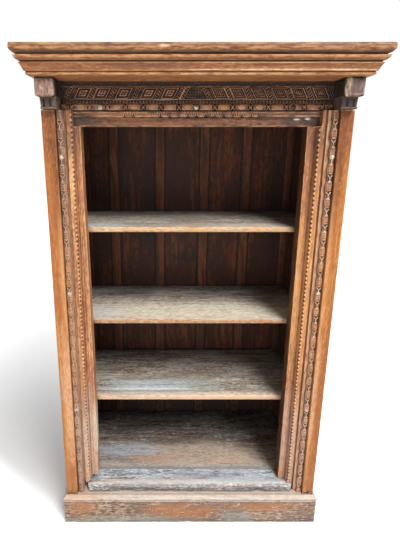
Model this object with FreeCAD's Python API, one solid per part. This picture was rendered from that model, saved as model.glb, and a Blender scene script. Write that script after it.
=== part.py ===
import FreeCAD, Part
import math
import os

# A tall open bookcase made around the carved surround of an old doorway. A boarded
# carcass stands on a plinth, moulded jambs and a carved frieze frame its front, and two
# brackets carry a stepped cornice. Lengths are in millimetres. X runs to the right,
# Y to the back and Z up, from the middle of the footprint on the floor.

Vector = FreeCAD.Vector

# Carcass
CARCASS_WIDTH = 1010.0
CARCASS_DEPTH = 490.0
POST_WIDTH = 44.0
POST_DEPTH = 90.0
POST_ARRIS = 2.5
BACK_POST_WIDTH = 35.0
BACK_POST_DEPTH = 45.0
SIDE_BOARD_THICKNESS = 18.0
SIDE_RAIL_THICKNESS = 17.0
SIDE_RAIL_HEIGHT = 80.0
MIDDLE_RAIL_RISE = 750.0
TENON_THICKNESS = 8.0
TENON_LENGTH = 22.0
TENON_SHOULDER = 12.0
MORTISE_CLEARANCE = 0.2

# Plinth
PLINTH_OVERHANG = 13.0
PLINTH_FACE_HEIGHT = 107.0
PLINTH_BOARD_THICKNESS = 22.0
PLINTH_CORNER_RADIUS = 6.0
CAP_THICKNESS = 23.0
CAP_WIDTH = 75.0
CAP_BEAD_HEIGHT = 14.0
CAP_BEAD_PROUD = 2.0
CAP_STEP = 7.0
CAP_GROOVE_INSET = 18.0
CAP_GROOVE_WIDTH = 4.0
CAP_GROOVE_DEPTH = 2.0
CORNER_BLOCK_SIZE = 40.0
CORNER_BLOCK_LIFT = 5.0

# Deck and threshold
DECK_RISE = 40.0
DECK_BOARD_THICKNESS = 22.0
DECK_FRONT_BOARD_WIDTH = 210.0
DECK_BEARER_WIDTH = 40.0
DECK_BEARER_COUNT = 3
THRESHOLD_SETBACK = 12.0
THRESHOLD_END_GAP = 3.0
THRESHOLD_NOSE_RADIUS = 16.0
THRESHOLD_CORNER_RADIUS = 18.0

# Opening height and shelves
OPENING_HEIGHT = 1410.0
SHELF_THICKNESS = 21.0
SHELF_NOSE_RADIUS = 4.0
SHELF_SETBACK = 3.0
SHELF_CLEARANCE = 1.0
LOWER_SHELF_RISE = 357.0
MIDDLE_SHELF_RISE = 696.0
UPPER_SHELF_RISE = 1060.0
LOWER_SHELF_FRONT_BOARD = 85.0
MIDDLE_SHELF_FRONT_BOARD = 190.0
UPPER_SHELF_FRONT_BOARD = 150.0
CLEAT_WIDTH = 18.0
CLEAT_HEIGHT = 22.0
CLEAT_END_GAP = 25.0

# Moulded jambs
JAMB_FILLET_WIDTH = 17.0
JAMB_COVE_WIDTH = 13.0
DENTIL_STRIP_WIDTH = 19.0
JAMB_GROOVE_WIDTH = 8.0
JAMB_FILLET_SETBACK = 42.0
JAMB_QUIRK = 3.0
DENTIL_SETBACK = 18.0
DENTIL_STEP = 8.0
JAMB_GROOVE_SETBACK = 28.0
TOOTH_PITCH = 16.0
TOOTH_GAP = 6.0
TOOTH_LENGTH = 5.0
JAMB_ARRIS = 2.0
TORN_FOOT_RISE = 24.0
SPALL_FOOT_RISE = 120.0
SPALL_LENGTH = 190.0
SPALL_WIDTH = 8.0
SPALL_DEPTH = 16.0

# Bead-and-reel roll beside each jamb, with a flat strip on its inner side at the right
ROLL_WIDTH = 24.0
ROLL_SETBACK = 8.0
ROLL_QUIRK = 1.0
ROLL_FACETS = 6
RIGHT_ROLL_STRIP = 9.0
REEL_PITCH = 57.0
REEL_LENGTH = 12.0
REEL_DEPTH = 2.5

# Lintel rail and frieze
LINTEL_SETBACK = 45.0
LINTEL_RAIL_HEIGHT = 50.0
LINTEL_RAIL_LAP = 39.0
LINTEL_FASCIA_HEIGHT = 28.0
LINTEL_FASCIA_STEP = 2.0
LINTEL_BEAD_PROUD = 5.0
FRIEZE_HEIGHT = 91.0
FRIEZE_THICKNESS = 30.0
ROSETTE_BAND_HEIGHT = 22.0
ROSETTE_BAND_PROUD = 5.0
ZIGZAG_BAND_HEIGHT = 14.0
ZIGZAG_STEP = 1.0
LOZENGE_BAND_HEIGHT = 39.0
LOZENGE_RELIEF = 3.0
LOZENGE_WIDTH = 44.0
LOZENGE_HEIGHT = 34.0
LOZENGE_LEAN = 9.0
LOZENGE_RIM = 5.0

# Brackets under the cornice
BRACKET_PROJECTION = 50.0
BRACKET_WIDTH = 60.0
BRACKET_PROUD = 2.0
BRACKET_BLOCK_HEIGHT = 56.0
BRACKET_BLOCK_RADIUS = 10.0
LOTUS_NECK_INSET = 14.0
LOTUS_LIP_INSET = 5.0
LOTUS_LIP_HEIGHT = 7.0
LOTUS_FRONT_INSET = 28.0
PETAL_COUNT = 3
PETAL_GROOVE_WIDTH = 5.0
PETAL_GROOVE_DEPTH = 3.0
SPLINTER_WIDTH = 16.0
SPLINTER_DEPTH = 22.0

# Cornice and top
CORNICE_PROJECTION = 45.0
CORNICE_HEIGHT = 59.0
TOP_BOARD_THICKNESS = 25.0
TOP_BOARD_OVERHANG = 53.0
TOP_BOARD_NOSE_RADIUS = 9.0
TOP_FRONT_BOARD_WIDTH = 215.0
TOP_MIDDLE_BOARD_WIDTH = 205.0
SOFFIT_THICKNESS = 18.0
TOP_BEARER_WIDTH = 35.0
FRONT_BEARER_THICKNESS = 22.0

# Back
BACK_BOARD_THICKNESS = 18.0
COVER_STRIP_THICKNESS = 12.0
COVER_STRIP_WIDTH = 41.0
CORNER_STRIP_WIDTH = 32.0
BACK_RAIL_HEIGHT = 61.0
BACK_RAIL_THICKNESS = 20.0

# Forged iron nails with domed, hammered heads
NAIL_HEAD_RADIUS = 8.5
NAIL_HEAD_HEIGHT = 6.0
NAIL_HEAD_SIDES = 10
NAIL_SEAT_DEPTH = 3.0
NAIL_SHANK_WIDTH = 5.0
NAIL_SHANK_LENGTH = 26.0
NAIL_CLEARANCE = 0.2

# One overrun serves every cut
OVERRUN = 5.0

# Places along the front as shares of the carcass half width
BACK_SEAM_SHARES = (-0.653, -0.244, 0.152, 0.526)
FRIEZE_NAIL_SHARES = (-0.632, -0.006, 0.632)
LEFT_LOZENGE_SHARES = (-0.743, -0.620, -0.477, -0.315, -0.178)
RIGHT_LOZENGE_SHARES = (0.149, 0.269, 0.406, 0.539, 0.663, 0.806)
# Heights of the roll's nails as shares of the roll's length
ROLL_NAIL_SHARES = (0.259, 0.580, 0.901)
# Torn foot of the left jamb: shares of the jamb's width, then of the tear's rise
TORN_FOOT_SHARES = ((0.0, 1.0), (0.2, 0.7), (0.38, 0.85), (0.62, 0.3), (0.85, 0.0))
# Cornice outline below the top board: shares of the projection, then of the height.
# Four values close an arc, and the last two are the middle of it.
CORNICE_OUTLINE_SHARES = (
    (0.24, 0.0),
    (0.42, 0.16, 0.37, 0.03),
    (0.42, 0.19),
    (0.49, 0.19),
    (0.76, 0.60, 0.55, 0.44),
    (0.72, 0.63),
    (0.84, 0.66),
    (1.00, 0.95, 0.96, 0.78),
    (0.90, 1.0),
)
# Dome of a nail's head: shares of the head's radius, then of its height
NAIL_DOME_SHARES = ((1.0, 0.0), (0.88, 0.45), (0.58, 0.82), (0.2, 1.0))
# Hollow of the jamb's cove: where the middle of its arc lies between its ends
COVE_MIDDLE_SHARE = 0.7
# Hollow of the bracket's neck: how near the middle of its arc stays to the neck
NECK_MIDDLE_SHARE = 0.75

# Planes and levels that follow from the sizes
HALF_WIDTH = CARCASS_WIDTH / 2
OVERALL_DEPTH = BRACKET_PROJECTION + TOP_BOARD_OVERHANG + CARCASS_DEPTH + BACK_BOARD_THICKNESS
FACE_Y = BRACKET_PROJECTION + TOP_BOARD_OVERHANG - OVERALL_DEPTH / 2
BACK_Y = FACE_Y + CARCASS_DEPTH
REAR_Y = BACK_Y + BACK_BOARD_THICKNESS
POST_BACK_Y = FACE_Y + POST_DEPTH
BACK_POST_Y = BACK_Y - BACK_POST_DEPTH
LINTEL_Y = FACE_Y + LINTEL_SETBACK
STRIP_Y = BACK_Y - COVER_STRIP_THICKNESS
SHELF_Y = POST_BACK_Y + SHELF_SETBACK
POST_INNER_X = HALF_WIDTH - POST_WIDTH
WALL_X = HALF_WIDTH - SIDE_RAIL_THICKNESS - SIDE_BOARD_THICKNESS
SHELF_X = WALL_X - SHELF_CLEARANCE
BASE_Z = PLINTH_FACE_HEIGHT + CAP_THICKNESS
DECK_Z = BASE_Z + DECK_RISE
LINTEL_Z = DECK_Z + OPENING_HEIGHT
FRIEZE_Z = LINTEL_Z + LINTEL_RAIL_HEIGHT
SOFFIT_Z = FRIEZE_Z + FRIEZE_HEIGHT
TOP_BOARD_Z = SOFFIT_Z + CORNICE_HEIGHT
TOP_Z = TOP_BOARD_Z + TOP_BOARD_THICKNESS
ROLL_X = POST_INNER_X - ROLL_WIDTH / 2
ROLL_RADIUS = ROLL_WIDTH / 2 - ROLL_QUIRK
ROLL_AXIS_Y = FACE_Y + ROLL_SETBACK + ROLL_RADIUS
ROLL_LENGTH = FRIEZE_Z - BASE_Z
JAMB_WIDTH = JAMB_FILLET_WIDTH + JAMB_COVE_WIDTH + DENTIL_STRIP_WIDTH + JAMB_GROOVE_WIDTH
LEFT_JAMB_X = POST_INNER_X - ROLL_WIDTH
RIGHT_JAMB_X = LEFT_JAMB_X - RIGHT_ROLL_STRIP
OPENING_LEFT = LEFT_JAMB_X - JAMB_WIDTH
OPENING_RIGHT = RIGHT_JAMB_X - JAMB_WIDTH
THRESHOLD_HALF_WIDTH = RIGHT_JAMB_X - THRESHOLD_END_GAP
LINTEL_RAIL_HALF_WIDTH = OPENING_RIGHT + LINTEL_RAIL_LAP
MATCH = OVERRUN / 1000


# Building blocks
def box(x_from, x_to, y_from, y_to, z_from, z_to):
    return Part.makeBox(x_to - x_from, y_to - y_from, z_to - z_from, Vector(x_from, y_from, z_from))


def outline_face(points, place):
    """Face inside an outline. A point of four values ends an arc through the last two."""
    edges = []
    for index, point in enumerate(points):
        before = points[index - 1]
        start = place(before[0], before[1])
        end = place(point[0], point[1])
        if len(point) == 4:
            edges.append(Part.Arc(start, place(point[2], point[3]), end).toShape())
        else:
            edges.append(Part.LineSegment(start, end).toShape())
    return Part.Face(Part.Wire(edges))


def prism_along_x(points, x_from, x_to):
    face = outline_face(points, lambda y, z: Vector(x_from, y, z))
    return face.extrude(Vector(x_to - x_from, 0, 0))


def prism_along_y(points, y_from, y_to):
    face = outline_face(points, lambda x, z: Vector(x, y_from, z))
    return face.extrude(Vector(0, y_to - y_from, 0))


def prism_along_z(points, z_from, z_to):
    face = outline_face(points, lambda x, y: Vector(x, y, z_from))
    return face.extrude(Vector(0, 0, z_to - z_from))


def solid_of_rings(rings):
    """Solid with flat faces between outlines of equal point count."""
    faces = [Part.Face(Part.makePolygon(ring + ring[:1])) for ring in (rings[0], rings[-1])]
    for low, high in zip(rings, rings[1:]):
        for index in range(len(low)):
            corners = [low[index - 1], low[index], high[index], high[index - 1]]
            faces.append(Part.Face(Part.makePolygon(corners + corners[:1])))
    solid = Part.Solid(Part.makeShell(faces))
    if solid.Volume < 0:
        solid.reverse()
    return solid


def mirrored(shape):
    return shape.mirror(Vector(0, 0, 0), Vector(1, 0, 0))


def edges_at(shape, x=None, y=None, z=None):
    """Edges whose corners all lie at the coordinates that are given."""
    found = []
    for edge in shape.Edges:
        corners = [vertex.Point for vertex in edge.Vertexes]
        fits_x = x is None or all(abs(corner.x - x) < MATCH for corner in corners)
        fits_y = y is None or all(abs(corner.y - y) < MATCH for corner in corners)
        fits_z = z is None or all(abs(corner.z - z) < MATCH for corner in corners)
        if fits_x and fits_y and fits_z:
            found.append(edge)
    return found


def both_sides(name, right_shape, pieces):
    """Store a right-hand piece and its mirror image."""
    pieces[name + "_right"] = right_shape
    pieces[name + "_left"] = mirrored(right_shape)


# Runs of moulding that meet at mitred corners. A section is given as distance out of the
# carried plane and height, and the same section goes along the front and down each side.
def front_run(section, plane_x, plane_y, reach_out, reach_in):
    points = [(plane_y - point[0], point[1]) + arc_middle_front(point, plane_y) for point in section]
    run = prism_along_x(points, -plane_x - reach_out, plane_x + reach_out)
    corners = [
        (-plane_x - reach_out, plane_y - reach_out),
        (plane_x + reach_out, plane_y - reach_out),
        (plane_x - reach_in, plane_y + reach_in),
        (-plane_x + reach_in, plane_y + reach_in),
    ]
    return trim_to_plan(run, corners)


def side_run(section, plane_x, plane_y, reach_out, reach_in, end_y):
    points = [(plane_x + point[0], point[1]) + arc_middle_side(point, plane_x) for point in section]
    run = prism_along_y(points, plane_y - reach_out, end_y)
    corners = [
        (plane_x - reach_in, plane_y + reach_in),
        (plane_x + reach_out, plane_y - reach_out),
        (plane_x + reach_out, end_y),
        (plane_x - reach_in, end_y),
    ]
    return trim_to_plan(run, corners)


def arc_middle_front(point, plane_y):
    if len(point) == 4:
        return (plane_y - point[2], point[3])
    return ()


def arc_middle_side(point, plane_x):
    if len(point) == 4:
        return (plane_x + point[2], point[3])
    return ()


def trim_to_plan(run, corners):
    lowest = run.BoundBox.ZMin - OVERRUN
    highest = run.BoundBox.ZMax + OVERRUN
    return run.common(prism_along_z(corners, lowest, highest))


def rounded_plan(half_width, front_y, back_y, z_from, z_to, radius):
    """Block whose two front corners are rounded in plan."""
    block = box(-half_width, half_width, front_y, back_y, z_from, z_to)
    corners = edges_at(block, x=half_width, y=front_y) + edges_at(block, x=-half_width, y=front_y)
    return block.makeFillet(radius, corners)


# Plinth: four boards and a moulded cap frame
def plinth_boards(pieces):
    plane_x = HALF_WIDTH + PLINTH_OVERHANG
    plane_y = FACE_Y - PLINTH_OVERHANG
    section = [
        (-PLINTH_BOARD_THICKNESS, 0),
        (0, 0),
        (0, PLINTH_FACE_HEIGHT),
        (-PLINTH_BOARD_THICKNESS, PLINTH_FACE_HEIGHT),
    ]
    rounding = rounded_plan(plane_x, plane_y, REAR_Y, 0, PLINTH_FACE_HEIGHT, PLINTH_CORNER_RADIUS)
    front = front_run(section, plane_x, plane_y, 0, PLINTH_BOARD_THICKNESS)
    side = side_run(section, plane_x, plane_y, 0, PLINTH_BOARD_THICKNESS, REAR_Y)
    pieces["plinth_board_front"] = front.common(rounding)
    both_sides("plinth_board", side.common(rounding), pieces)
    inner_x = plane_x - PLINTH_BOARD_THICKNESS
    rear_front_y = REAR_Y - PLINTH_BOARD_THICKNESS
    pieces["plinth_board_back"] = box(-inner_x, inner_x, rear_front_y, REAR_Y, 0, PLINTH_FACE_HEIGHT)
    block_front_y = plane_y + PLINTH_BOARD_THICKNESS
    blocks = []
    for x_from in (-inner_x, inner_x - CORNER_BLOCK_SIZE):
        for y_from in (block_front_y, rear_front_y - CORNER_BLOCK_SIZE):
            x_to = x_from + CORNER_BLOCK_SIZE
            y_to = y_from + CORNER_BLOCK_SIZE
            blocks.append(box(x_from, x_to, y_from, y_to, CORNER_BLOCK_LIFT, PLINTH_FACE_HEIGHT))
    pieces["plinth_corner_blocks"] = Part.makeCompound(blocks)


def plinth_cap(pieces):
    plane_x = HALF_WIDTH + PLINTH_OVERHANG
    plane_y = FACE_Y - PLINTH_OVERHANG
    bottom = PLINTH_FACE_HEIGHT
    bead_top = bottom + CAP_BEAD_HEIGHT
    bead_middle = bottom + CAP_BEAD_HEIGHT / 2
    step_middle = bead_top + (BASE_Z - bead_top) * COVE_MIDDLE_SHARE
    half_groove = CAP_GROOVE_WIDTH / 2
    section = [
        (-CAP_WIDTH, bottom),
        (0, bottom),
        (0, bead_top, CAP_BEAD_PROUD, bead_middle),
        (-CAP_STEP / 2, bead_top),
        (-CAP_STEP, BASE_Z, -CAP_STEP * COVE_MIDDLE_SHARE, step_middle),
        (-CAP_GROOVE_INSET + half_groove, BASE_Z),
        (-CAP_GROOVE_INSET, BASE_Z - CAP_GROOVE_DEPTH),
        (-CAP_GROOVE_INSET - half_groove, BASE_Z),
        (-CAP_WIDTH, BASE_Z),
    ]
    outer_x = plane_x + CAP_BEAD_PROUD
    outer_y = plane_y - CAP_BEAD_PROUD
    rounding = rounded_plan(outer_x, outer_y, REAR_Y, bottom, BASE_Z, PLINTH_CORNER_RADIUS)
    front = front_run(section, plane_x, plane_y, CAP_BEAD_PROUD, CAP_WIDTH)
    side = side_run(section, plane_x, plane_y, CAP_BEAD_PROUD, CAP_WIDTH, REAR_Y)
    pieces["plinth_cap_front"] = front.common(rounding)
    both_sides("plinth_cap", side.common(rounding), pieces)
    inner_x = plane_x - CAP_WIDTH
    pieces["plinth_cap_back"] = box(-inner_x, inner_x, REAR_Y - CAP_WIDTH, REAR_Y, bottom, BASE_Z)


# Deck inside the carcass and the worn threshold in front of it
def deck(pieces):
    bearer_top = DECK_Z - DECK_BOARD_THICKNESS
    spare = CARCASS_DEPTH - POST_DEPTH - COVER_STRIP_THICKNESS - DECK_BEARER_WIDTH
    spacing = spare / (DECK_BEARER_COUNT - 1)
    bearers = []
    for index in range(DECK_BEARER_COUNT):
        y_from = POST_BACK_Y + index * spacing
        bearers.append(box(-SHELF_X, SHELF_X, y_from, y_from + DECK_BEARER_WIDTH, BASE_Z, bearer_top))
    pieces["deck_bearers"] = Part.makeCompound(bearers)
    seam_y = POST_BACK_Y + DECK_FRONT_BOARD_WIDTH
    pieces["deck_board_front"] = box(-SHELF_X, SHELF_X, POST_BACK_Y, seam_y, bearer_top, DECK_Z)
    pieces["deck_board_rear"] = box(-SHELF_X, SHELF_X, seam_y, BACK_Y, bearer_top, DECK_Z)


def threshold(pieces):
    front_y = FACE_Y + THRESHOLD_SETBACK
    reach = THRESHOLD_HALF_WIDTH
    block = box(-reach, reach, front_y, POST_BACK_Y, BASE_Z, DECK_Z)
    corners = edges_at(block, x=reach, y=front_y) + edges_at(block, x=-reach, y=front_y)
    block = block.makeFillet(THRESHOLD_CORNER_RADIUS, corners)
    nose = [edge for edge in edges_at(block, z=DECK_Z) if edge.CenterOfMass.y < POST_BACK_Y - MATCH]
    pieces["threshold_board"] = block.makeFillet(THRESHOLD_NOSE_RADIUS, nose)


# Corner posts and the framed, boarded sides
def rail_levels():
    """Lowest point of each side rail, from the bottom up."""
    return (BASE_Z, BASE_Z + MIDDLE_RAIL_RISE, SOFFIT_Z - SIDE_RAIL_HEIGHT)


def tenon_x():
    middle = HALF_WIDTH - SIDE_RAIL_THICKNESS / 2
    return (middle - TENON_THICKNESS / 2, middle + TENON_THICKNESS / 2)


def mortises(y_from, y_to):
    """Pockets for the tenons of one side's rails, with clearance on every side."""
    low_x, high_x = tenon_x()
    pockets = []
    for level in rail_levels():
        low_z = level + TENON_SHOULDER - MORTISE_CLEARANCE
        high_z = level + SIDE_RAIL_HEIGHT - TENON_SHOULDER + MORTISE_CLEARANCE
        low = low_x - MORTISE_CLEARANCE
        high = high_x + MORTISE_CLEARANCE
        pockets.append(box(low, high, y_from, y_to, low_z, high_z))
    return Part.makeCompound(pockets)


def posts(pieces):
    front = box(POST_INNER_X, HALF_WIDTH, FACE_Y, POST_BACK_Y, BASE_Z, SOFFIT_Z)
    arrises = edges_at(front, x=POST_INNER_X, y=FACE_Y) + edges_at(front, x=HALF_WIDTH, y=FACE_Y)
    front = front.makeFillet(POST_ARRIS, arrises)
    low_x = POST_INNER_X - OVERRUN
    high_x = HALF_WIDTH + OVERRUN
    front = front.cut(box(low_x, high_x, FACE_Y - OVERRUN, LINTEL_Y, FRIEZE_Z, SOFFIT_Z + OVERRUN))
    pocket_y = POST_BACK_Y - TENON_LENGTH - MORTISE_CLEARANCE
    front = front.cut(mortises(pocket_y, POST_BACK_Y + OVERRUN))
    both_sides("front_post", front, pieces)
    back_x = HALF_WIDTH - BACK_POST_WIDTH
    back = box(back_x, HALF_WIDTH, BACK_POST_Y, BACK_Y, BASE_Z, SOFFIT_Z)
    pocket_y = BACK_POST_Y + TENON_LENGTH + MORTISE_CLEARANCE
    back = back.cut(mortises(BACK_POST_Y - OVERRUN, pocket_y))
    both_sides("back_post", back, pieces)


def side_frame(pieces):
    low_x, high_x = tenon_x()
    rail_x = HALF_WIDTH - SIDE_RAIL_THICKNESS
    for label, level in zip(("bottom", "middle", "top"), rail_levels()):
        top = level + SIDE_RAIL_HEIGHT
        rail = box(rail_x, HALF_WIDTH, POST_BACK_Y, BACK_POST_Y, level, top)
        tenon_low = level + TENON_SHOULDER
        tenon_high = top - TENON_SHOULDER
        front_y = POST_BACK_Y - TENON_LENGTH
        rear_y = BACK_POST_Y + TENON_LENGTH
        tenons = box(low_x, high_x, front_y, rear_y, tenon_low, tenon_high)
        both_sides("side_rail_" + label, rail.fuse(tenons).removeSplitter(), pieces)
    labels = ("front", "rear")
    width = (BACK_POST_Y - POST_BACK_Y) / len(labels)
    for index, label in enumerate(labels):
        y_from = POST_BACK_Y + index * width
        board = box(WALL_X, rail_x, y_from, y_from + width, BASE_Z, SOFFIT_Z)
        both_sides("side_board_" + label, board, pieces)


# Moulded jamb, seen from its opening edge outwards
def jamb_section(opening, outer):
    """Plan outline of a right-hand jamb as x and y."""
    fillet_end = opening + JAMB_FILLET_WIDTH
    dentil_start = fillet_end + JAMB_COVE_WIDTH
    dentil_end = dentil_start + DENTIL_STRIP_WIDTH
    fillet_y = FACE_Y + JAMB_FILLET_SETBACK
    cove_deep_y = fillet_y + JAMB_QUIRK
    dentil_y = FACE_Y + DENTIL_SETBACK
    cove_high_y = dentil_y + DENTIL_STEP
    groove_y = FACE_Y + JAMB_GROOVE_SETBACK
    middle_x = fillet_end + JAMB_COVE_WIDTH * COVE_MIDDLE_SHARE
    middle_y = cove_high_y + (cove_deep_y - cove_high_y) * COVE_MIDDLE_SHARE
    return [
        (opening, POST_BACK_Y),
        (opening, fillet_y + JAMB_ARRIS),
        (opening + JAMB_ARRIS, fillet_y),
        (fillet_end, fillet_y),
        (fillet_end, cove_deep_y),
        (dentil_start, cove_high_y, middle_x, middle_y),
        (dentil_start, dentil_y),
        (dentil_end, dentil_y),
        (dentil_end, groove_y),
        (outer, groove_y),
        (outer, POST_BACK_Y),
    ]


def tooth_gaps(dentil_start):
    """Gaps between the teeth on the inner edge of the dentil strip."""
    dentil_y = FACE_Y + DENTIL_SETBACK
    gap_count = int(OPENING_HEIGHT / TOOTH_PITCH)
    gaps = []
    for index in range(gap_count):
        low = DECK_Z + (index + 1) * TOOTH_PITCH - TOOTH_GAP
        front = dentil_y - OVERRUN
        rear = dentil_y + DENTIL_STEP
        high = low + TOOTH_GAP
        gaps.append(box(dentil_start - OVERRUN, dentil_start + TOOTH_LENGTH, front, rear, low, high))
    return Part.makeCompound(gaps)


def jamb(opening):
    """A right-hand jamb with an even foot, notched at its head for the lintel rail."""
    outer = opening + JAMB_WIDTH
    shape = prism_along_z(jamb_section(opening, outer), DECK_Z, FRIEZE_Z)
    shape = shape.cut(tooth_gaps(opening + JAMB_FILLET_WIDTH + JAMB_COVE_WIDTH))
    low_x = opening - OVERRUN
    low_y = FACE_Y - OVERRUN
    high_y = POST_BACK_Y + OVERRUN
    notch = box(low_x, LINTEL_RAIL_HALF_WIDTH, low_y, high_y, LINTEL_Z, FRIEZE_Z + OVERRUN)
    return shape.cut(notch)


def torn_foot(opening):
    """Piece missing under the torn foot, for the jamb seen as a right-hand one."""
    points = [(opening - OVERRUN, DECK_Z - OVERRUN)]
    points.append((opening - OVERRUN, DECK_Z + TORN_FOOT_RISE))
    for across, rise in TORN_FOOT_SHARES:
        points.append((opening + across * JAMB_WIDTH, DECK_Z + rise * TORN_FOOT_RISE))
    points.append((opening + JAMB_WIDTH, DECK_Z - OVERRUN))
    return prism_along_y(points, FACE_Y - OVERRUN, POST_BACK_Y + OVERRUN)


def spall(opening):
    """Long splinter missing from the inner arris above the foot."""
    low = DECK_Z + SPALL_FOOT_RISE
    high = low + SPALL_LENGTH
    front_y = FACE_Y + JAMB_FILLET_SETBACK
    corners = [
        (opening - OVERRUN, front_y - OVERRUN),
        (opening + SPALL_WIDTH, front_y - OVERRUN),
        (opening + SPALL_WIDTH, front_y),
        (opening, front_y + SPALL_DEPTH),
        (opening - OVERRUN, front_y + SPALL_DEPTH),
    ]
    return prism_along_z(corners, low, high)


def jambs(pieces):
    pieces["jamb_right"] = jamb(OPENING_RIGHT)
    left = jamb(OPENING_LEFT).cut(torn_foot(OPENING_LEFT)).cut(spall(OPENING_LEFT))
    pieces["jamb_left"] = mirrored(left)


# Bead-and-reel roll between jamb and post
def roll_levels():
    """Height and nose radius along a roll, from its foot up, with two grooves at each reel."""
    levels = [(BASE_Z, ROLL_RADIUS)]
    quarter = REEL_LENGTH / 4
    groove_radius = ROLL_RADIUS - REEL_DEPTH
    for index in range(int(ROLL_LENGTH / REEL_PITCH)):
        middle = BASE_Z + (index + 1 / 2) * REEL_PITCH
        levels.append((middle - 2 * quarter, ROLL_RADIUS))
        levels.append((middle - quarter, groove_radius))
        levels.append((middle, ROLL_RADIUS))
        levels.append((middle + quarter, groove_radius))
        levels.append((middle + 2 * quarter, ROLL_RADIUS))
    levels.append((FRIEZE_Z, ROLL_RADIUS))
    return levels


def roll_nose():
    """Whittled half-round nose, with flat facets around it."""
    rings = []
    for z, radius in roll_levels():
        ring = []
        for index in range(ROLL_FACETS + 1):
            angle = math.pi * index / ROLL_FACETS
            across = radius * math.cos(angle)
            ring.append(Vector(ROLL_X + across, ROLL_AXIS_Y - radius * math.sin(angle), z))
        rings.append(ring)
    return solid_of_rings(rings)


def roll(inner_x):
    body = box(inner_x, POST_INNER_X, ROLL_AXIS_Y, POST_BACK_Y, BASE_Z, FRIEZE_Z)
    shape = body.fuse(roll_nose()).removeSplitter()
    for share in ROLL_NAIL_SHARES:
        shape = shape.cut(nail_hole(ROLL_X, FACE_Y + ROLL_SETBACK, BASE_Z + share * ROLL_LENGTH))
    return shape


def rolls(pieces):
    pieces["roll_moulding_right"] = roll(RIGHT_JAMB_X)
    pieces["roll_moulding_left"] = mirrored(roll(LEFT_JAMB_X))


# Forged nails, driven into a shallow seat
def nail_ring(x, y, z, radius):
    ring = []
    for index in range(NAIL_HEAD_SIDES):
        angle = 2 * math.pi * index / NAIL_HEAD_SIDES
        ring.append(Vector(x + radius * math.cos(angle), y, z + radius * math.sin(angle)))
    return ring


def nail(x, surface_y, z):
    seat_y = surface_y + NAIL_SEAT_DEPTH
    rings = []
    for across, rise in NAIL_DOME_SHARES:
        rings.append(nail_ring(x, seat_y - rise * NAIL_HEAD_HEIGHT, z, across * NAIL_HEAD_RADIUS))
    half = NAIL_SHANK_WIDTH / 2
    shank = box(x - half, x + half, seat_y, seat_y + NAIL_SHANK_LENGTH, z - half, z + half)
    return solid_of_rings(rings).fuse(shank)


def nail_hole(x, surface_y, z):
    """Seat and square hole for one nail, with clearance around it."""
    seat_y = surface_y + NAIL_SEAT_DEPTH
    radius = NAIL_HEAD_RADIUS + NAIL_CLEARANCE
    front_y = seat_y - NAIL_HEAD_HEIGHT - OVERRUN
    seat = solid_of_rings([nail_ring(x, seat_y, z, radius), nail_ring(x, front_y, z, radius)])
    half = NAIL_SHANK_WIDTH / 2 + NAIL_CLEARANCE
    end_y = seat_y + NAIL_SHANK_LENGTH + NAIL_CLEARANCE
    return seat.fuse(box(x - half, x + half, seat_y, end_y, z - half, z + half))


def frieze_nail_places():
    z = FRIEZE_Z + ROSETTE_BAND_HEIGHT / 2
    return [(share * HALF_WIDTH, LINTEL_Y - ROSETTE_BAND_PROUD, z) for share in FRIEZE_NAIL_SHARES]


def domed_nails(pieces):
    nails = []
    for share in ROLL_NAIL_SHARES:
        for x in (ROLL_X, -ROLL_X):
            nails.append(nail(x, FACE_Y + ROLL_SETBACK, BASE_Z + share * ROLL_LENGTH))
    for place in frieze_nail_places():
        nails.append(nail(*place))
    pieces["domed_nails"] = Part.makeCompound(nails)


# Lintel rail and the frieze board above it
def lintel_rail(pieces):
    fascia_y = LINTEL_Y + LINTEL_FASCIA_STEP
    bead_z = LINTEL_Z + LINTEL_FASCIA_HEIGHT
    points = [
        (POST_BACK_Y, LINTEL_Z),
        (fascia_y, LINTEL_Z),
        (fascia_y, bead_z),
        (LINTEL_Y, bead_z),
        (LINTEL_Y, FRIEZE_Z, LINTEL_Y - LINTEL_BEAD_PROUD, (bead_z + FRIEZE_Z) / 2),
        (POST_BACK_Y, FRIEZE_Z),
    ]
    reach = LINTEL_RAIL_HALF_WIDTH
    pieces["lintel_rail"] = prism_along_x(points, -reach, reach)


def lozenge(centre_x, lean, low_z):
    """Raised leaning ring of the frieze; lean is how far its head stands over its foot."""
    front_y = LINTEL_Y
    rear_y = LINTEL_Y + LOZENGE_RELIEF
    outer = leaning_outline(centre_x, LOZENGE_WIDTH / 2, low_z, LOZENGE_HEIGHT, lean)
    inner_height = LOZENGE_HEIGHT - 2 * LOZENGE_RIM
    rim_lean = lean * inner_height / LOZENGE_HEIGHT
    half_inner = LOZENGE_WIDTH / 2 - LOZENGE_RIM
    inner = leaning_outline(centre_x, half_inner, low_z + LOZENGE_RIM, inner_height, rim_lean)
    ring = prism_along_y(outer, front_y, rear_y)
    return ring.cut(prism_along_y(inner, front_y - OVERRUN, rear_y + OVERRUN))


def leaning_outline(centre_x, half_width, low_z, height, lean):
    high_z = low_z + height
    return [
        (centre_x - half_width - lean, low_z),
        (centre_x + half_width - lean, low_z),
        (centre_x + half_width + lean, high_z),
        (centre_x - half_width + lean, high_z),
    ]


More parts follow.
